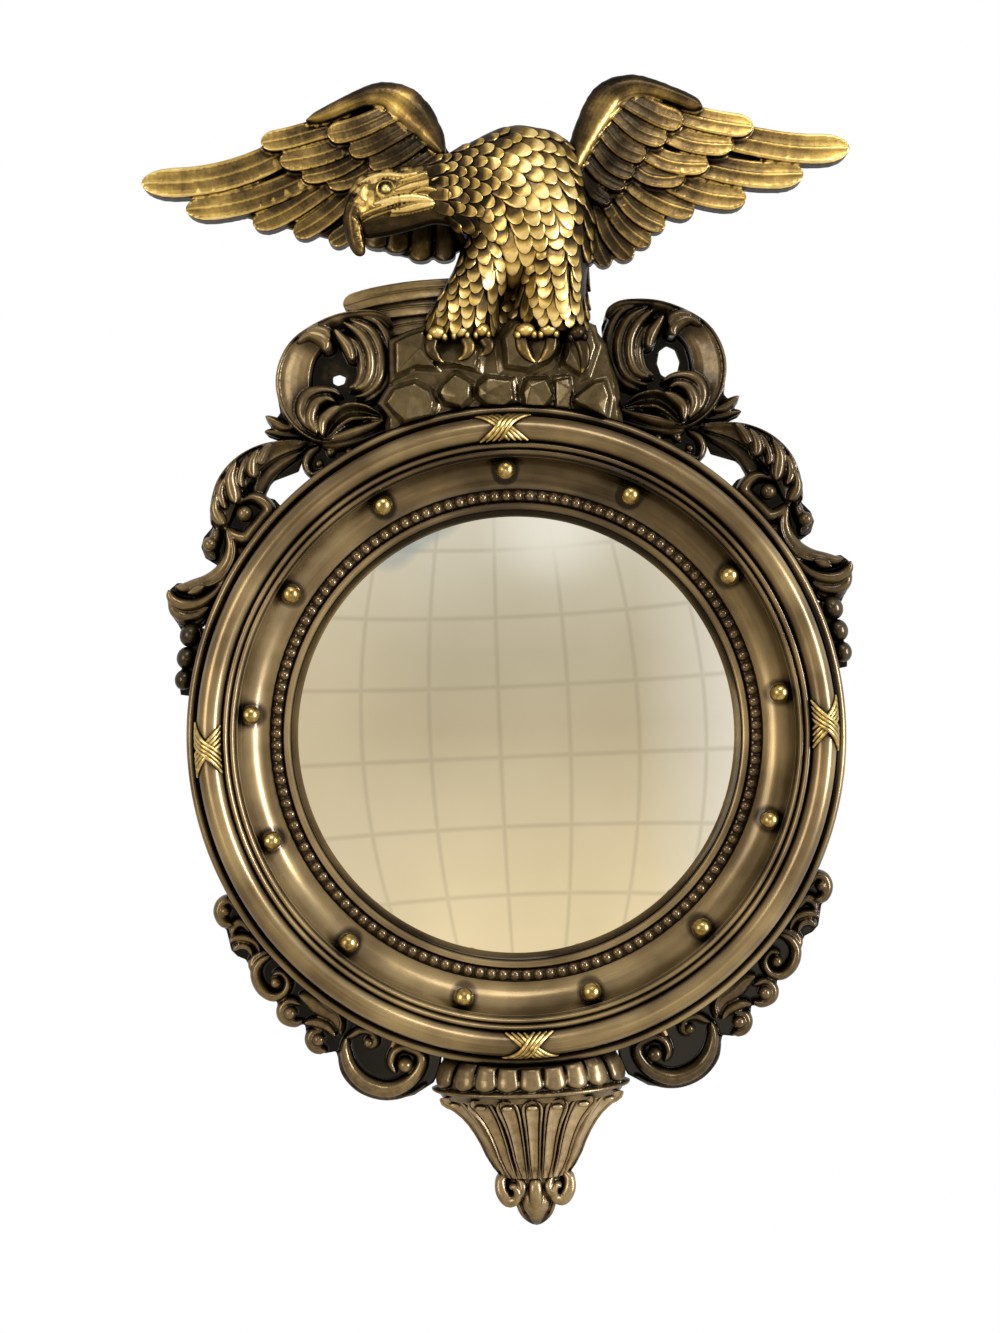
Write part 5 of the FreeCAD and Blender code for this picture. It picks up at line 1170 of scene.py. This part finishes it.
lower_strokes = [
    (ROUND, 9.5, 6, [(102.9, -165.6, 1.6), (103.9, -174.5, 3.1), (100.9, -185, 4), (92.7, -193.5, 4.5), (80.1,
      -197.1, 4.5), (68.5, -192.6, 4.2), (61.6, -183.8, 3.5), (61.9, -176.3, 3.2), (68.4, -172.5, 2.9), (75.6,
      -175.2, 2.6), (78.2, -181.7, 2.4), (75.8, -187.2, 1.6)]),
    (ROUND, 7, 4, [(108.1, -174.7, 0.9), (105.7, -187, 1.2), (97.8, -196.6, 1.2), (86.9, -201.6, 1.2), (76.3,
      -202.1, 1.2), (66.1, -199, 1.1), (59.3, -194.8, 0.8)]),
    (ROUND, 9, 5, [(102.1, -166.2, 1.4), (99.1, -164.9, 2.1), (93.8, -162.6, 2.6), (88.3, -164.4, 2.6), (86.7,
      -169.7, 2.4), (90.1, -173, 1.6)]),
    (ROUND, 11, 5, [(105.5, -164, 1.9), (107.8, -155.9, 4.2), (114, -148.1, 5.6), (121.4, -144.1, 4.9), (128.4,
      -141, 2.4)]),
    (ROUND, 14.5, 3, [(106.2, -162.3, 0.8), (105.4, -155.8, 0.9), (109.3, -148.4, 1.1), (116.5, -142.3, 0.9)]),
    (ROUND, 12, 5, [(108.8, -164.7, 1.4), (112.8, -159.8, 2.8), (119.4, -156.8, 2.8), (125.9, -156.6, 1.4)]),
    (ROUND, 8.5, 6, [(115.6, -161.5, 1.6), (121.5, -162.6, 3.1), (123.5, -167.3, 3.3), (120.5, -171.9, 3.3),
      (114.5, -173.6, 2.1)]),
    (ROUND, 8.5, 6, [(127.5, -146.3, 1.9), (134.6, -144.7, 2.8), (138.9, -149.2, 3.1), (137.7, -154.5, 3.1),
      (131.7, -157.1, 2.8), (126.8, -155.7, 1.4)]),
    (ROUND, 9.5, 6, [(142.8, -117.6, 1.6), (149.9, -121.9, 2.6), (152.7, -128.6, 3.1), (150, -136.7, 3.3),
      (143.6, -141.6, 3.1), (137.2, -139.9, 2.6), (134.4, -133.4, 2.4), (137.7, -128.2, 2.1), (143, -129.1,
      1.4)]),
    (ROUND, 8, 5, [(139.2, -120.7, 1.4), (146.6, -116.9, 2.6), (153.5, -120.4, 2.6), (155.1, -127.5, 1.9)]),
    (ROUND, 9.5, 5, [(149.3, -116.2, 1.6), (151.3, -110.9, 2.4), (156.4, -108, 2.6), (162.8, -107.8, 2.4),
      (166.4, -110.1, 1.4)]),
    (ROUND, 9, 5, [(153.6, -118, 1.4), (155.9, -113.4, 2.1), (160.7, -112, 2.4), (164.4, -114.7, 1.6)]),
    (ROUND, 8.5, 5, [(154.5, -104.9, 1.6), (158.4, -99.4, 3.1), (163.1, -100.5, 3.1), (165.2, -106.5, 1.6)]),
    (ROUND, 9.5, 6, [(161.3, -92, 1.4), (164.1, -86.4, 2.6), (169.5, -87.4, 3.3), (171.6, -92.9, 3.5), (169,
      -98.9, 3.1), (163.8, -100.1, 1.6)])]
# Outlines of the ground behind the strokes, between their two ends on the ring
crest_ground = [(58.6, 177.6), (58.7, 204.8), (57.9, 228.3), (61.6, 237), (69.7, 240.8), (81.5, 239.7),
    (95.7, 237.9), (107.7, 231.9), (118.4, 222.9), (124.9, 210), (127, 198.3), (125.6, 187.4), (127.3, 185.1),
    (130.9, 185.1), (134.4, 186.2), (132.9, 181.9), (130.4, 178.5), (135.2, 177), (132.5, 173.8),
    (124.4, 170.4), (114, 167.2), (113.7, 160.1), (113.4, 152.8), (108.3, 148.6)]
side_ground = [(109.2, 171.5), (123.8, 171), (136, 167.9), (148.3, 161.5), (157.7, 152.7), (163.6, 143.4),
    (166.1, 133.4), (167, 124.3), (171.9, 119), (173.6, 113.5), (171.4, 107.1), (165.7, 103.3), (162.7, 102),
    (166.1, 97.5), (174.2, 95.1), (182.8, 93.4), (187.8, 93.9), (192.3, 90.3), (193.9, 83.9), (192.6, 76.8),
    (188.5, 70.4), (186.6, 66.5), (178.6, 65.2)]
side_inner = [(130.9, 138.8), (135.4, 140.3), (136, 143.7), (130.5, 149.2), (116.7, 153.8), (114.1, 160),
    (109.3, 165.9)]
lower_ground = [(49.6, -178.4), (50.6, -187.0), (55.0, -194.8), (66.3, -201.4), (78, -203.7), (89.8, -202.4),
    (99.7, -196), (106.2, -187.8), (109.5, -174.8), (115.6, -175.7), (121.9, -172.7), (125.7, -165.1), (126.5,
    -158.8), (132.8, -159.5), (139.1, -155.3), (141.4, -148.1), (141.9, -143.6), (147.9, -142.7), (152.1,
    -136.5), (155.3, -127.3), (158.2, -120.8), (163, -118.6), (166.3, -115), (167.9, -106.8), (168.6, -103.3),
    (172.9, -100), (174.4, -92.8), (171.7, -86.5), (166, -83.7), (161.3, -86.8)]
# The opening in each crest scroll, wider on the right
right_opening = [(98.8, 213.6), (94.2, 216), (89.9, 213.2), (88.5, 206.1), (90.5, 199.7), (95, 197.2), (99.4,
    200), (101.2, 206.6)]
left_opening = [(94.9, 206.6), (91.1, 207.6), (87.6, 205.8), (88.7, 202.3), (92.3, 201.3), (95, 202.8)]
# Buttons and knobs: x, z, radius
crest_knobs = [(104.3, 157.1, 2.6), (97.6, 163.6, 2.8)]
side_knobs = [(147.3, 130.8, 4.4), (167.5, 114.5, 4), (176.1, 88.3, 2.2)]
drop_beads = [(181, 63.9, 5.9), (183.6, 51.2, 5.6), (185.6, 39, 5.2)]
lower_knobs = [(70.4, -183, 4.5), (90.5, -169.5, 2.9), (118.6, -166.7, 3.8), (133.9, -151.1, 3.9), (141.2,
    -133.7, 3.4), (168.1, -92.3, 3.2), (161, -111.3, 1.4)]


def clear_of_ring(x, z, margin=0.0):
    """Moves a point that lies over the ring out to its wall."""
    reach = math.hypot(x, z)
    least = SEAT + margin
    return (x * least / reach, z * least / reach) if reach < least else (x, z)


def ring_arc(start, end):
    """Points on the wall of the ring from one angle to another in degrees clockwise from the top."""
    steps = max(2, int(abs(end - start) / 1.5))
    turns = [math.radians(start + (end - start) * step / steps) for step in range(steps + 1)]
    return [(SEAT * math.sin(turn), SEAT * math.cos(turn)) for turn in turns]


def carve_strokes(strokes, knobs, side, knob_out, outlines, ground_out):
    """Strokes and knobs of one side on their ground, fused like one casting and kept outside the ring."""
    carving = Carving()
    carving.plate([[(side * x, z) for x, z in outline] for outline in outlines], ground_out)
    for section, out, crown, line in strokes:
        steps = 5 * (len(line) - 1)
        stations = []
        for index, (x, z, half) in enumerate(along_line(line, steps)):
            half = max(half, 0.3)
            x, z = clear_of_ring(x, z, half * 0.9)
            ending = math.sin(math.radians(90 * min(1.0, (index + 0.35) / 2.6, (steps - index + 0.35) / 2.6)))
            stations.append((front_point(side * x, z, out), OUTWARD, half * ending, 0.0, 0.0))
        rows = section if side > 0 else mirrored(section)
        carving.blade(stations, rows, crown, WING_BACK)
    for x, z, radius in knobs:
        x, z = clear_of_ring(x, z, radius)
        carving.mound(front_point(side * x, z, knob_out), (radius, radius, radius * 1.1), 20, 10, 0.5)
        carving.blade([(front_point(side * x, z + shift * radius, knob_out - 1), OUTWARD, radius * wide,
                        0.0, 0.0) for shift, wide in ((-0.8, 0.4), (0, 0.8), (0.8, 0.4))], FLAT, 1.0, WING_BACK)
    return fused(carving.piece(), 0.55, 2)


side_outline = side_ground + ring_arc(66.8, 43.4) + side_inner
for side, word, opening in ((1, "right", right_opening), (-1, "left", left_opening)):
    for label, strokes, knobs, out, outlines, ground_out in (
            ("crest", crest_strokes, crest_knobs, 13, [crest_ground + ring_arc(35.7, 18.3), opening], 8.5),
            ("side", side_strokes, side_knobs, 17.5, [side_outline], 8),
            ("lower", lower_strokes, lower_knobs, 13, [lower_ground + ring_arc(119.2, 165.2)], 7.5)):
        settle(carve_strokes(strokes, knobs, side, out, outlines, ground_out), "carved_%s_scroll_%s" % (label, word),
               ["%s_scroll_%s" % (label, word)], right_shaded_paint if side > 0 else carved_paint, 50.0)


def make_bead_drop(side):
    """Three graduated beads on a strip that follows the ring."""
    drop = Carving()
    for x, z, radius in drop_beads:
        drop.mound(front_point(side * x, z, 13.5), (radius, radius * 1.15, radius * 1.15), 24, 14, 0.6,
                   side * math.degrees(math.atan2(z, x)))
    strip = []
    for step in range(15):
        turn = math.radians(68.8 + 12.0 * step / 14)
        strip.append((front_point(side * 188.4 * math.sin(turn), 188.4 * math.cos(turn), 9.0), OUTWARD,
                      4.5 * math.sin(math.pi * (step + 0.7) / 15.4) ** 0.3, 0.0, 0.0))
    drop.blade(strip, FLAT, 1.0, WING_BACK)
    return drop.piece()


for side, word in ((1, "right"), (-1, "left")):
    settle(make_bead_drop(side), "carved_bead_drop_" + word, ["bead_drop_" + word], drop_paint, 50.0)


# Rocks under the eagle: the outline of each stone, then how far out its face stands
stone_faces = [
    ([(-64.6, 187.8), (-59.9, 194.8), (-48.1, 197.8), (-40.3, 193), (-37.4, 186.7), (-39.1, 179.6),
      (-54.4, 176.7), (-60.4, 182.3)], 36),
    ([(-34.5, 191.9), (-33, 195.4), (-25.6, 201.8), (-16.9, 196.5), (-17.7, 188.5), (-22.8, 183.4),
      (-31.6, 186.4)], 35),
    ([(-13.4, 194.6), (-7.8, 199.3), (5.5, 197.4), (6.8, 186.6), (1.3, 182.8), (-8.5, 184.1), (-13.6, 189.2)], 34),
    ([(11.7, 189.9), (14.2, 197.4), (24.9, 196.9), (28.3, 188.2), (23.1, 181.4), (12.5, 182.4)], 34),
    ([(39.4, 185), (51.5, 193.6), (56.9, 194.5), (59.2, 185.8), (56.6, 174.6), (42.5, 182.2)], 36),
    ([(29.7, 196.7), (37.8, 197.4), (38.4, 187.7), (37, 180.3), (29.6, 181.1)], 32),
    ([(-58.3, 220.7), (-50.3, 224.4), (-42, 226.6), (-38.2, 218.2), (-36.3, 206.2),
      (-47.7, 207.5), (-58.6, 202.6)], 35),
    ([(-37.5, 215.7), (-32.3, 222), (-20.8, 223.2), (-12.1, 215.4), (-13.4, 204), (-23.9, 207.7), (-34.6, 207.3)], 34),
    ([(1.6, 220.5), (8.6, 229.1), (19.7, 230.9), (31.8, 228.1), (34.1, 215.8), (26.5, 207.3),
      (15.2, 202.8), (3.1, 205)], 36),
    ([(36, 222.4), (45, 226.5), (51.5, 222.9), (53.4, 213.9), (48.4, 200.8), (43.9, 198.8), (35.3, 204.7)], 35)]
# No stone reaches higher than this
STONES_TOP = 231.0


def make_rocks():
    """Faceted stones in front of a dark rough ground that rests on the ring."""
    rocks = Carving()
    ground = []
    outline = [(-66, 171), (-65.6, 180), (-64, 196), (-60, 214), (-52, 226), (-34, 230), (0, 229), (34, 230), (52, 227),
               (60, 216), (65, 198), (66.6, 178), (67, 171)]
    lower = [(x, math.sqrt(SEAT ** 2 - x * x)) for x in (67, 50, 30, 10, -10, -30, -50, -66)]
    shape = [(x, max(z, math.sqrt(SEAT ** 2 - x * x))) for x, z in outline] + lower[1:-1]
    middle = Vector((0.0, 0.0, 205.0))
    for out, share in ((WING_BACK, 1.0), (24.0, 1.0), (29.0, 0.95)):
        ground.append([middle + (front_point(x, z, out) - middle) * share if out > 26 else front_point(x, z, out)
                       for x, z in shape])
    for row in ground[2:]:
        for point in row:
            point.y = -29.0
    rocks.shell(ground, 0.0)
    for index, (outline, out) in enumerate(stone_faces):
        centre = Vector((sum(x for x, z in outline), 0, sum(z for x, z in outline))) / len(outline)
        lean = noise.noise(Vector((index * 3.1, 0.3, 0.7)))
        levels = [(1.42, 20.0), (1.38, 27.0), (1.28, 29.4), (1.1, 30.6), (1.04, out - 3.6), (0.92, out)]
        rings = []
        for share, height in levels:
            ring = []
            for x, z in outline:
                offset = (Vector((x, 0, z)) - centre) * share
                rise = (offset.x * lean + offset.z * (0.4 - abs(lean))) * 0.2 if height == out else 0.0
                point = centre + offset
                x, z = clear_of_ring(point.x, min(point.z, STONES_TOP))
                ring.append(front_point(x, z, height + rise))
            rings.append(ring)
        rocks.shell(rings, 0.3)
        rocks.points[-1] = centre + Vector((20 * lean, -(out + 1.6 + 3 * abs(lean)), 4.4 * math.cos(index * 2.3)))
    return fused(rocks.piece(), 0.6, 1)


settle(make_rocks(), "carved_rocks", ["rock_plinth"], rock_paint, 22.0)


# Half widths and depths of the pendant at each height
bell_levels = [(-200.5, 52, 31), (-203.4, 50, 30.5), (-206.3, 45, 29), (-212.8, 38.5, 26), (-219.8, 33.4, 23.5),
    (-228, 29, 21), (-237.3, 25.2, 18.5), (-245.5, 21.6, 16), (-249, 20, 14.5)]


def oval_at(levels, z, turn):
    """A point and its outward direction on a half-oval form, by height and by angle from the front."""
    for above, below in zip(levels, levels[1:]):
        if z >= below[0]:
            share = (above[0] - z) / (above[0] - below[0])
            half, depth = [a + (b - a) * share for a, b in zip(above[1:], below[1:])]
            break
    else:
        half, depth = levels[-1][1:]
    swing = math.radians(turn)
    point = front_point(half * math.sin(swing), z, WING_BACK + depth * math.cos(swing))
    return point, Vector((math.sin(swing) / half, -math.cos(swing) / depth, 0)).normalized()


def half_oval_ring(z, half, depth, segments=36):
    """A half-oval section with a flat back, from its half width and depth."""
    turns = [math.radians(-90 + 180 * step / segments) for step in range(segments + 1)]
    return [front_point(half * math.sin(turn), z, WING_BACK + depth * math.cos(turn)) for turn in turns]


cup_levels = [(-179.6, 48.0, 31.0), (-184.0, 51.5, 34.0), (-190.0, 54.0, 36.2), (-196.0, 54.4, 36.8)]
# Angle from the front and half width of each gadroon, then of each leaf of the bell
gadroons = [(-66, 7.6), (-44, 6.9), (-28.3, 6.5), (-14.2, 6.6), (0, 6.8), (14.2, 6.6), (28.3, 6.5), (44, 6.9),
            (66, 7.6)]
bell_leaves = [(-67, 9.0), (-38, 8.2), (-17.5, 7.7), (0, 7.4), (17.5, 7.7), (38, 8.2), (67, 9.0)]


def make_cup():
    """Nine fat gadroons side by side over a thin lip."""
    cup = Carving()
    rings = [half_oval_ring(z, half, depth) for z, half, depth in
             [(-183.8, 48.0, 29.0), (-186.0, 49.5, 32.0), (-190.0, 52.0, 34.2), (-195.8, 52.6, 35.0),
              (-196.8, 55.0, 37.2), (-197.4, 56.2, 38.4), (-198.8, 56.2, 38.4), (-199.4, 54.6, 37.0),
              (-200.0, 52.6, 35.0), (-203.5, 50.4, 32.5)]]
    cup.shell(rings, 0.1)
    # The ground follows the ring above
    cup.plate([ring_arc(164.6, 195.4) + [(-48.8, -187), (48.8, -187)]], 15.0)
    for turn, wide in gadroons:
        stations = []
        top = math.sqrt(SEAT ** 2 - (52 * math.sin(math.radians(turn))) ** 2) + 0.3
        for share in (0.0, 0.12, 0.25, 0.4, 0.55, 0.68, 0.78, 0.86, 0.92, 0.965, 0.99, 1.0):
            z = -top - (195.9 - top) * share
            point, normal = oval_at(cup_levels, z, turn)
            point.z = z
            ending = math.sqrt(max(1 - max((share - 0.72) / 0.28, 0.0) ** 3, 0.01))
            wide_here = wide * (0.78 + 0.18 * min(share * 1.6, 1.0)) * ending
            stations.append((point - normal * (1.4 + 1.2 * (1 - ending)), normal, wide_here, 0.0, 0.0))
        cup.blade(stations, ROUND, 3.4, depth=5.0)
    return fused(cup.piece(), 0.5, 1)


# A leaf of the bell: two raised lines along each edge of a shallow trough
flute_side = [(-1, 0, 0), (-0.95, 0.8, 0), (-0.84, 1.0, 0), (-0.74, 0.7, 0), (-0.66, 0.35, 0), (-0.56, 0.62, 0),
              (-0.46, 0.4, 0)]
FLUTE = flute_side + [(0, 0.15, 0)] + mirrored(flute_side)


def make_bell():
    """Seven troughed leaves with rounded, curled tips that narrow towards the finial."""
    bell = Carving()
    rings = [half_oval_ring(z, half - 1.0, depth - 1.0) for z, half, depth in bell_levels]
    bell.shell(rings, 0.0)
    for turn, wide in bell_leaves:
        stations = []
        for share in (0.0, 0.006, 0.02, 0.045, 0.08, 0.12, 0.17, 0.25, 0.35, 0.47, 0.6, 0.74, 0.88, 1.0):
            z = -201.4 - 47.6 * share
            point, normal = oval_at(bell_levels, z, turn)
            narrow = oval_at(bell_levels, z, 90)[0].x / 52
            opening = math.sqrt(max(1 - max((0.17 - share) / 0.17, 0.0) ** 2, 0.004))
            curl = 2.2 * max(1 - share / 0.14, 0.0) ** 2 - 2.4 * max((share - 0.82) / 0.18, 0.0)
            stations.append((point + normal * (curl - 0.4), normal,
                             wide * max(narrow, 0.4) * opening * (1 - 0.3 * max((share - 0.82) / 0.18, 0.0)), 0.0, 0.0))
        bell.blade(stations, FLUTE, 2.6, depth=4.0)
        tip, normal = oval_at(bell_levels, -206.0, turn)
        bell.mound(tip + normal * 1.4, (3.2, 1.6, 1.6), 16, 8, 0.0)
    return bell.piece()


def make_finial():
    """Curled leaves each side of a fold that ends in a bud with a turned edge."""
    finial = Carving()
    core = [half_oval_ring(z, half, depth, 20) for z, half, depth in
            [(-247, 18.0, 11.0), (-252.4, 17.0, 10.5), (-258.6, 13.6, 10.0), (-263.8, 11.0, 11.0), (-268, 9.4, 11.0),
             (-272.1, 6.4, 8.5), (-275.7, 3.2, 6.0), (-277.7, 0.9, 2.5)]]
    finial.shell(core, 0.1)
    for side in (-1, 1):
        for line in ([(15.0, -246.5, 2.0, 9.0), (19.2, -250.6, 3.0, 11.0), (19.0, -257.0, 3.6, 12.5),
                      (15.4, -262.0, 3.6, 13.5), (11.4, -261.2, 2.8, 14.5), (10.2, -257.2, 2.2, 15.5),
                      (12.0, -253.6, 1.8, 15.0), (14.4, -254.4, 1.2, 14.0)],
                     [(11.2, -247.6, 1.6, 11.0), (8.6, -250.4, 2.2, 13.5), (7.2, -254.4, 2.4, 15.0),
                      (8.6, -258.4, 1.8, 14.5), (10.4, -259.4, 1.0, 13.0)]):
            stations = [(front_point(side * x, z, out), OUTWARD, half, 0.0, 0.0)
                        for x, z, half, out in along_line(line, 28)]
            finial.blade(stations, ROUND, 3.2, WING_BACK)
    for line in ([(0, -247.8, 2.6, 13.5), (0, -254.4, 3.6, 16.5), (0, -261.7, 3.4, 16.0), (0, -269, 2.2, 12.0)],
                 [(-10.6, -262.8, 1.2, 11.0), (-8.4, -269.4, 1.3, 10.0), (-4.6, -274.2, 1.3, 7.5),
                  (0, -276.7, 1.4, 5.0), (4.6, -274.2, 1.3, 7.5), (8.4, -269.4, 1.3, 10.0), (10.6, -262.8, 1.2, 11.0)]):
        stations = [(front_point(x, z, out), OUTWARD, half, 0.0, 0.0)
                    for x, z, half, out in along_line(line, 16)]
        finial.blade(stations, ROUND, 2.6, WING_BACK)
    return fused(finial.piece(), 0.45, 2)


settle(make_cup(), "carved_cup", ["gadroon_cup"], cup_paint, 40.0)
settle(make_bell(), "carved_bell", ["fluted_bell"], bell_lit_paint, 40.0)
settle(make_finial(), "carved_finial", ["finial"], finial_paint, 40.0)


# Camera, light and ground

# Lens and sensor in millimetres, place in metres, and how far the mirror hangs askew in the picture, in degrees
LENS, SENSOR = 61.7, 36.0
CAMERA_PLACE = (-0.0075, -1.3, 0.0389)
ASKEW = 2.43


def make_stage():
    """Camera, floor, lamps and the room around them."""
    scene = bpy.context.scene
    scene.view_settings.view_transform = "Standard"
    data = bpy.data.cameras.new("camera")
    data.lens = LENS
    data.sensor_width = SENSOR
    camera = bpy.data.objects.new("camera", data)
    scene.collection.objects.link(camera)
    scene.camera = camera
    # The part is upright, so the camera is rolled instead
    roll = math.radians(ASKEW)
    right = Vector((math.cos(roll), 0, -math.sin(roll)))
    upward = Vector((math.sin(roll), 0, math.cos(roll)))
    camera.matrix_world = Matrix.Translation(CAMERA_PLACE) @ Matrix(
        (right, upward, OUTWARD)).transposed().to_4x4()

    bpy.ops.object.select_all(action="DESELECT")
    bpy.ops.mesh.primitive_plane_add(size=4.4, location=(0, -1.4, -0.62))
    floor = bpy.context.object
    floor.name = "floor"
    # The glass shows the room instead of the edge of the floor
    floor.visible_glossy = False
    material, tree, bsdf = new_material("pale_floor", Roughness=0.9)
    coords = object_coords(tree)
    path = add_node(tree, "ShaderNodeLightPath")
    seen = arithmetic(tree, "MAXIMUM", path.outputs["Is Camera Ray"], arithmetic(
        tree, "MAXIMUM", path.outputs["Is Glossy Ray"], path.outputs["Is Transmission Ray"]))
    dull = ramp(tree, grain(tree, coords, 1.5), [(0.3, "#8f8370"), (0.7, "#998d79")])
    pale = ramp(tree, grain(tree, coords, 1.5), [(0.3, "#f1efea"), (0.7, "#f6f4ef")])
    tree.links.new(blend_colours(tree, seen, dull, pale), bsdf.inputs["Base Color"])
    finish(floor, material)

    # Lamps: place, size, power, colour
    lamps = [("ceiling_light", (0.3, -1.35, 1.45), (0.9, 0.5), 12.0, "#fff6e8"),
             ("window_right", (1.7, -1.15, 0.15), (0.28, 1.2), 62.0, "#faf8fa"),
             ("room_left", (-1.5, -1.9, 0.3), (0.9, 1.2), 23.0, "#fff4e4"),
             ("room_low", (0.2, -2.3, -0.55), (0.8, 0.5), 2.0, "#fff0dc")]
    others = bpy.data.collections.new("all_but_glass")
    for name, location, size, power, code in lamps:
        lamp_data = bpy.data.lights.new(name, "AREA")
        lamp_data.shape = "RECTANGLE"
        lamp_data.size, lamp_data.size_y = size
        lamp_data.energy = power
        lamp_data.color = linear(code)[:3]
        lamp = bpy.data.objects.new(name, lamp_data)
        lamp.location = location
        lamp.rotation_mode = "QUATERNION"
        lamp.rotation_quaternion = (Vector((0, 0, 0.03)) - Vector(location)).to_track_quat("-Z", "Y")
        scene.collection.objects.link(lamp)
        lamp.light_linking.receiver_collection = others
    # The glass shows the room of the world below, without the hard edges of the lamps
    others.objects.link(glass)
    others.collection_objects[0].light_linking.link_state = "EXCLUDE"

    world = bpy.data.worlds.new("studio")
    scene.world = world
    world.use_nodes = True
    tree = world.node_tree
    background = tree.nodes["Background"]
    coords = add_node(tree, "ShaderNodeTexCoord").outputs["Generated"]
    axes = add_node(tree, "ShaderNodeSeparateXYZ", links={"Vector": coords})
    across, depth, height = axes.outputs
    path = add_node(tree, "ShaderNodeLightPath")
    plain = one_colour(tree, "#ffffff")
    # The room in front of the mirror: beige, pale at the window side and under the ceiling light
    room = ramp(tree, spread(tree, height, -0.8, 0.8),
                [(0.08, "#fdedca"), (0.3, "#e6d9bd"), (0.5, "#cbc0a8"), (0.66, "#cdc5b2"), (0.86, "#e0dcd1"),
                 (1.0, "#efece4")])
    room = blend_colours(tree, spread(tree, across, 0.42, 0.72, 0.0, 0.75), room, plain)
    room = blend_colours(tree, spread(tree, across, -0.25, -0.6, 0.0, 0.75), room,
                         ramp(tree, height, [(0.0, "#e5d9c0"), (1.0, "#efe9dc")]))
    # Faint joints between the panels of the room, 14 degrees apart as the glass shows them
    sideways = arithmetic(tree, "ARCTAN2", across, product(tree, depth, -1.0))
    upwards = arithmetic(tree, "ARCSINE", height)
    joints = None
    for turned, shift in ((sideways, 0.21), (upwards, 0.42)):
        cells = added(tree, product(tree, turned, 1 / math.radians(13.9)), shift)
        off = arithmetic(tree, "ABSOLUTE", arithmetic(tree, "SUBTRACT", cells, arithmetic(tree, "ROUND", cells)))
        line = spread(tree, off, 0.01, 0.05, 0.24, 0.0)
        joints = line if joints is None else arithmetic(tree, "MAXIMUM", joints, line)
    room = blend_colours(tree, joints, room, one_colour(tree, "#8f8672"))
    spot = add_node(tree, "ShaderNodeVectorMath", {"operation": "DOT_PRODUCT"}, links={0: coords})
    spot.inputs[1].default_value = (0.144, -0.743, 0.652)
    glow = arithmetic(tree, "POWER", spread(tree, spot.outputs["Value"], 0.955, 1.0), 2.5)
    room = blend_colours(tree, glow, room, plain)
    # A pale blue light in the room, seen along the upper left edge of the glass
    for direction in ((-0.37, -0.71, 0.60), (-0.30, -0.70, 0.645), (-0.225, -0.69, 0.685)):
        spot = add_node(tree, "ShaderNodeVectorMath", {"operation": "DOT_PRODUCT"}, links={0: coords})
        spot.inputs[1].default_value = Vector(direction).normalized()
        room = blend_colours(tree, spread(tree, spot.outputs["Value"], 0.9948, 0.9978, 0.0, 0.6), room,
                             one_colour(tree, "#aebac2"))
    # Light that isn't mirrored comes weaker, and least from below
    dim = ramp(tree, spread(tree, height, -0.9, 0.9), [(0.0, "#3c352b"), (0.5, "#7d7567"), (1.0, "#b0aa9f")])
    glossy = path.outputs["Is Glossy Ray"]
    behind = product(tree, glossy, spread(tree, depth, 0.1, 0.4))
    seen = arithmetic(tree, "MAXIMUM", arithmetic(tree, "MAXIMUM", path.outputs["Is Camera Ray"],
                      path.outputs["Is Transmission Ray"]), behind)
    tree.links.new(blend_colours(tree, seen, blend_colours(tree, glossy, dim, room), plain),
                   background.inputs["Color"])


make_stage()
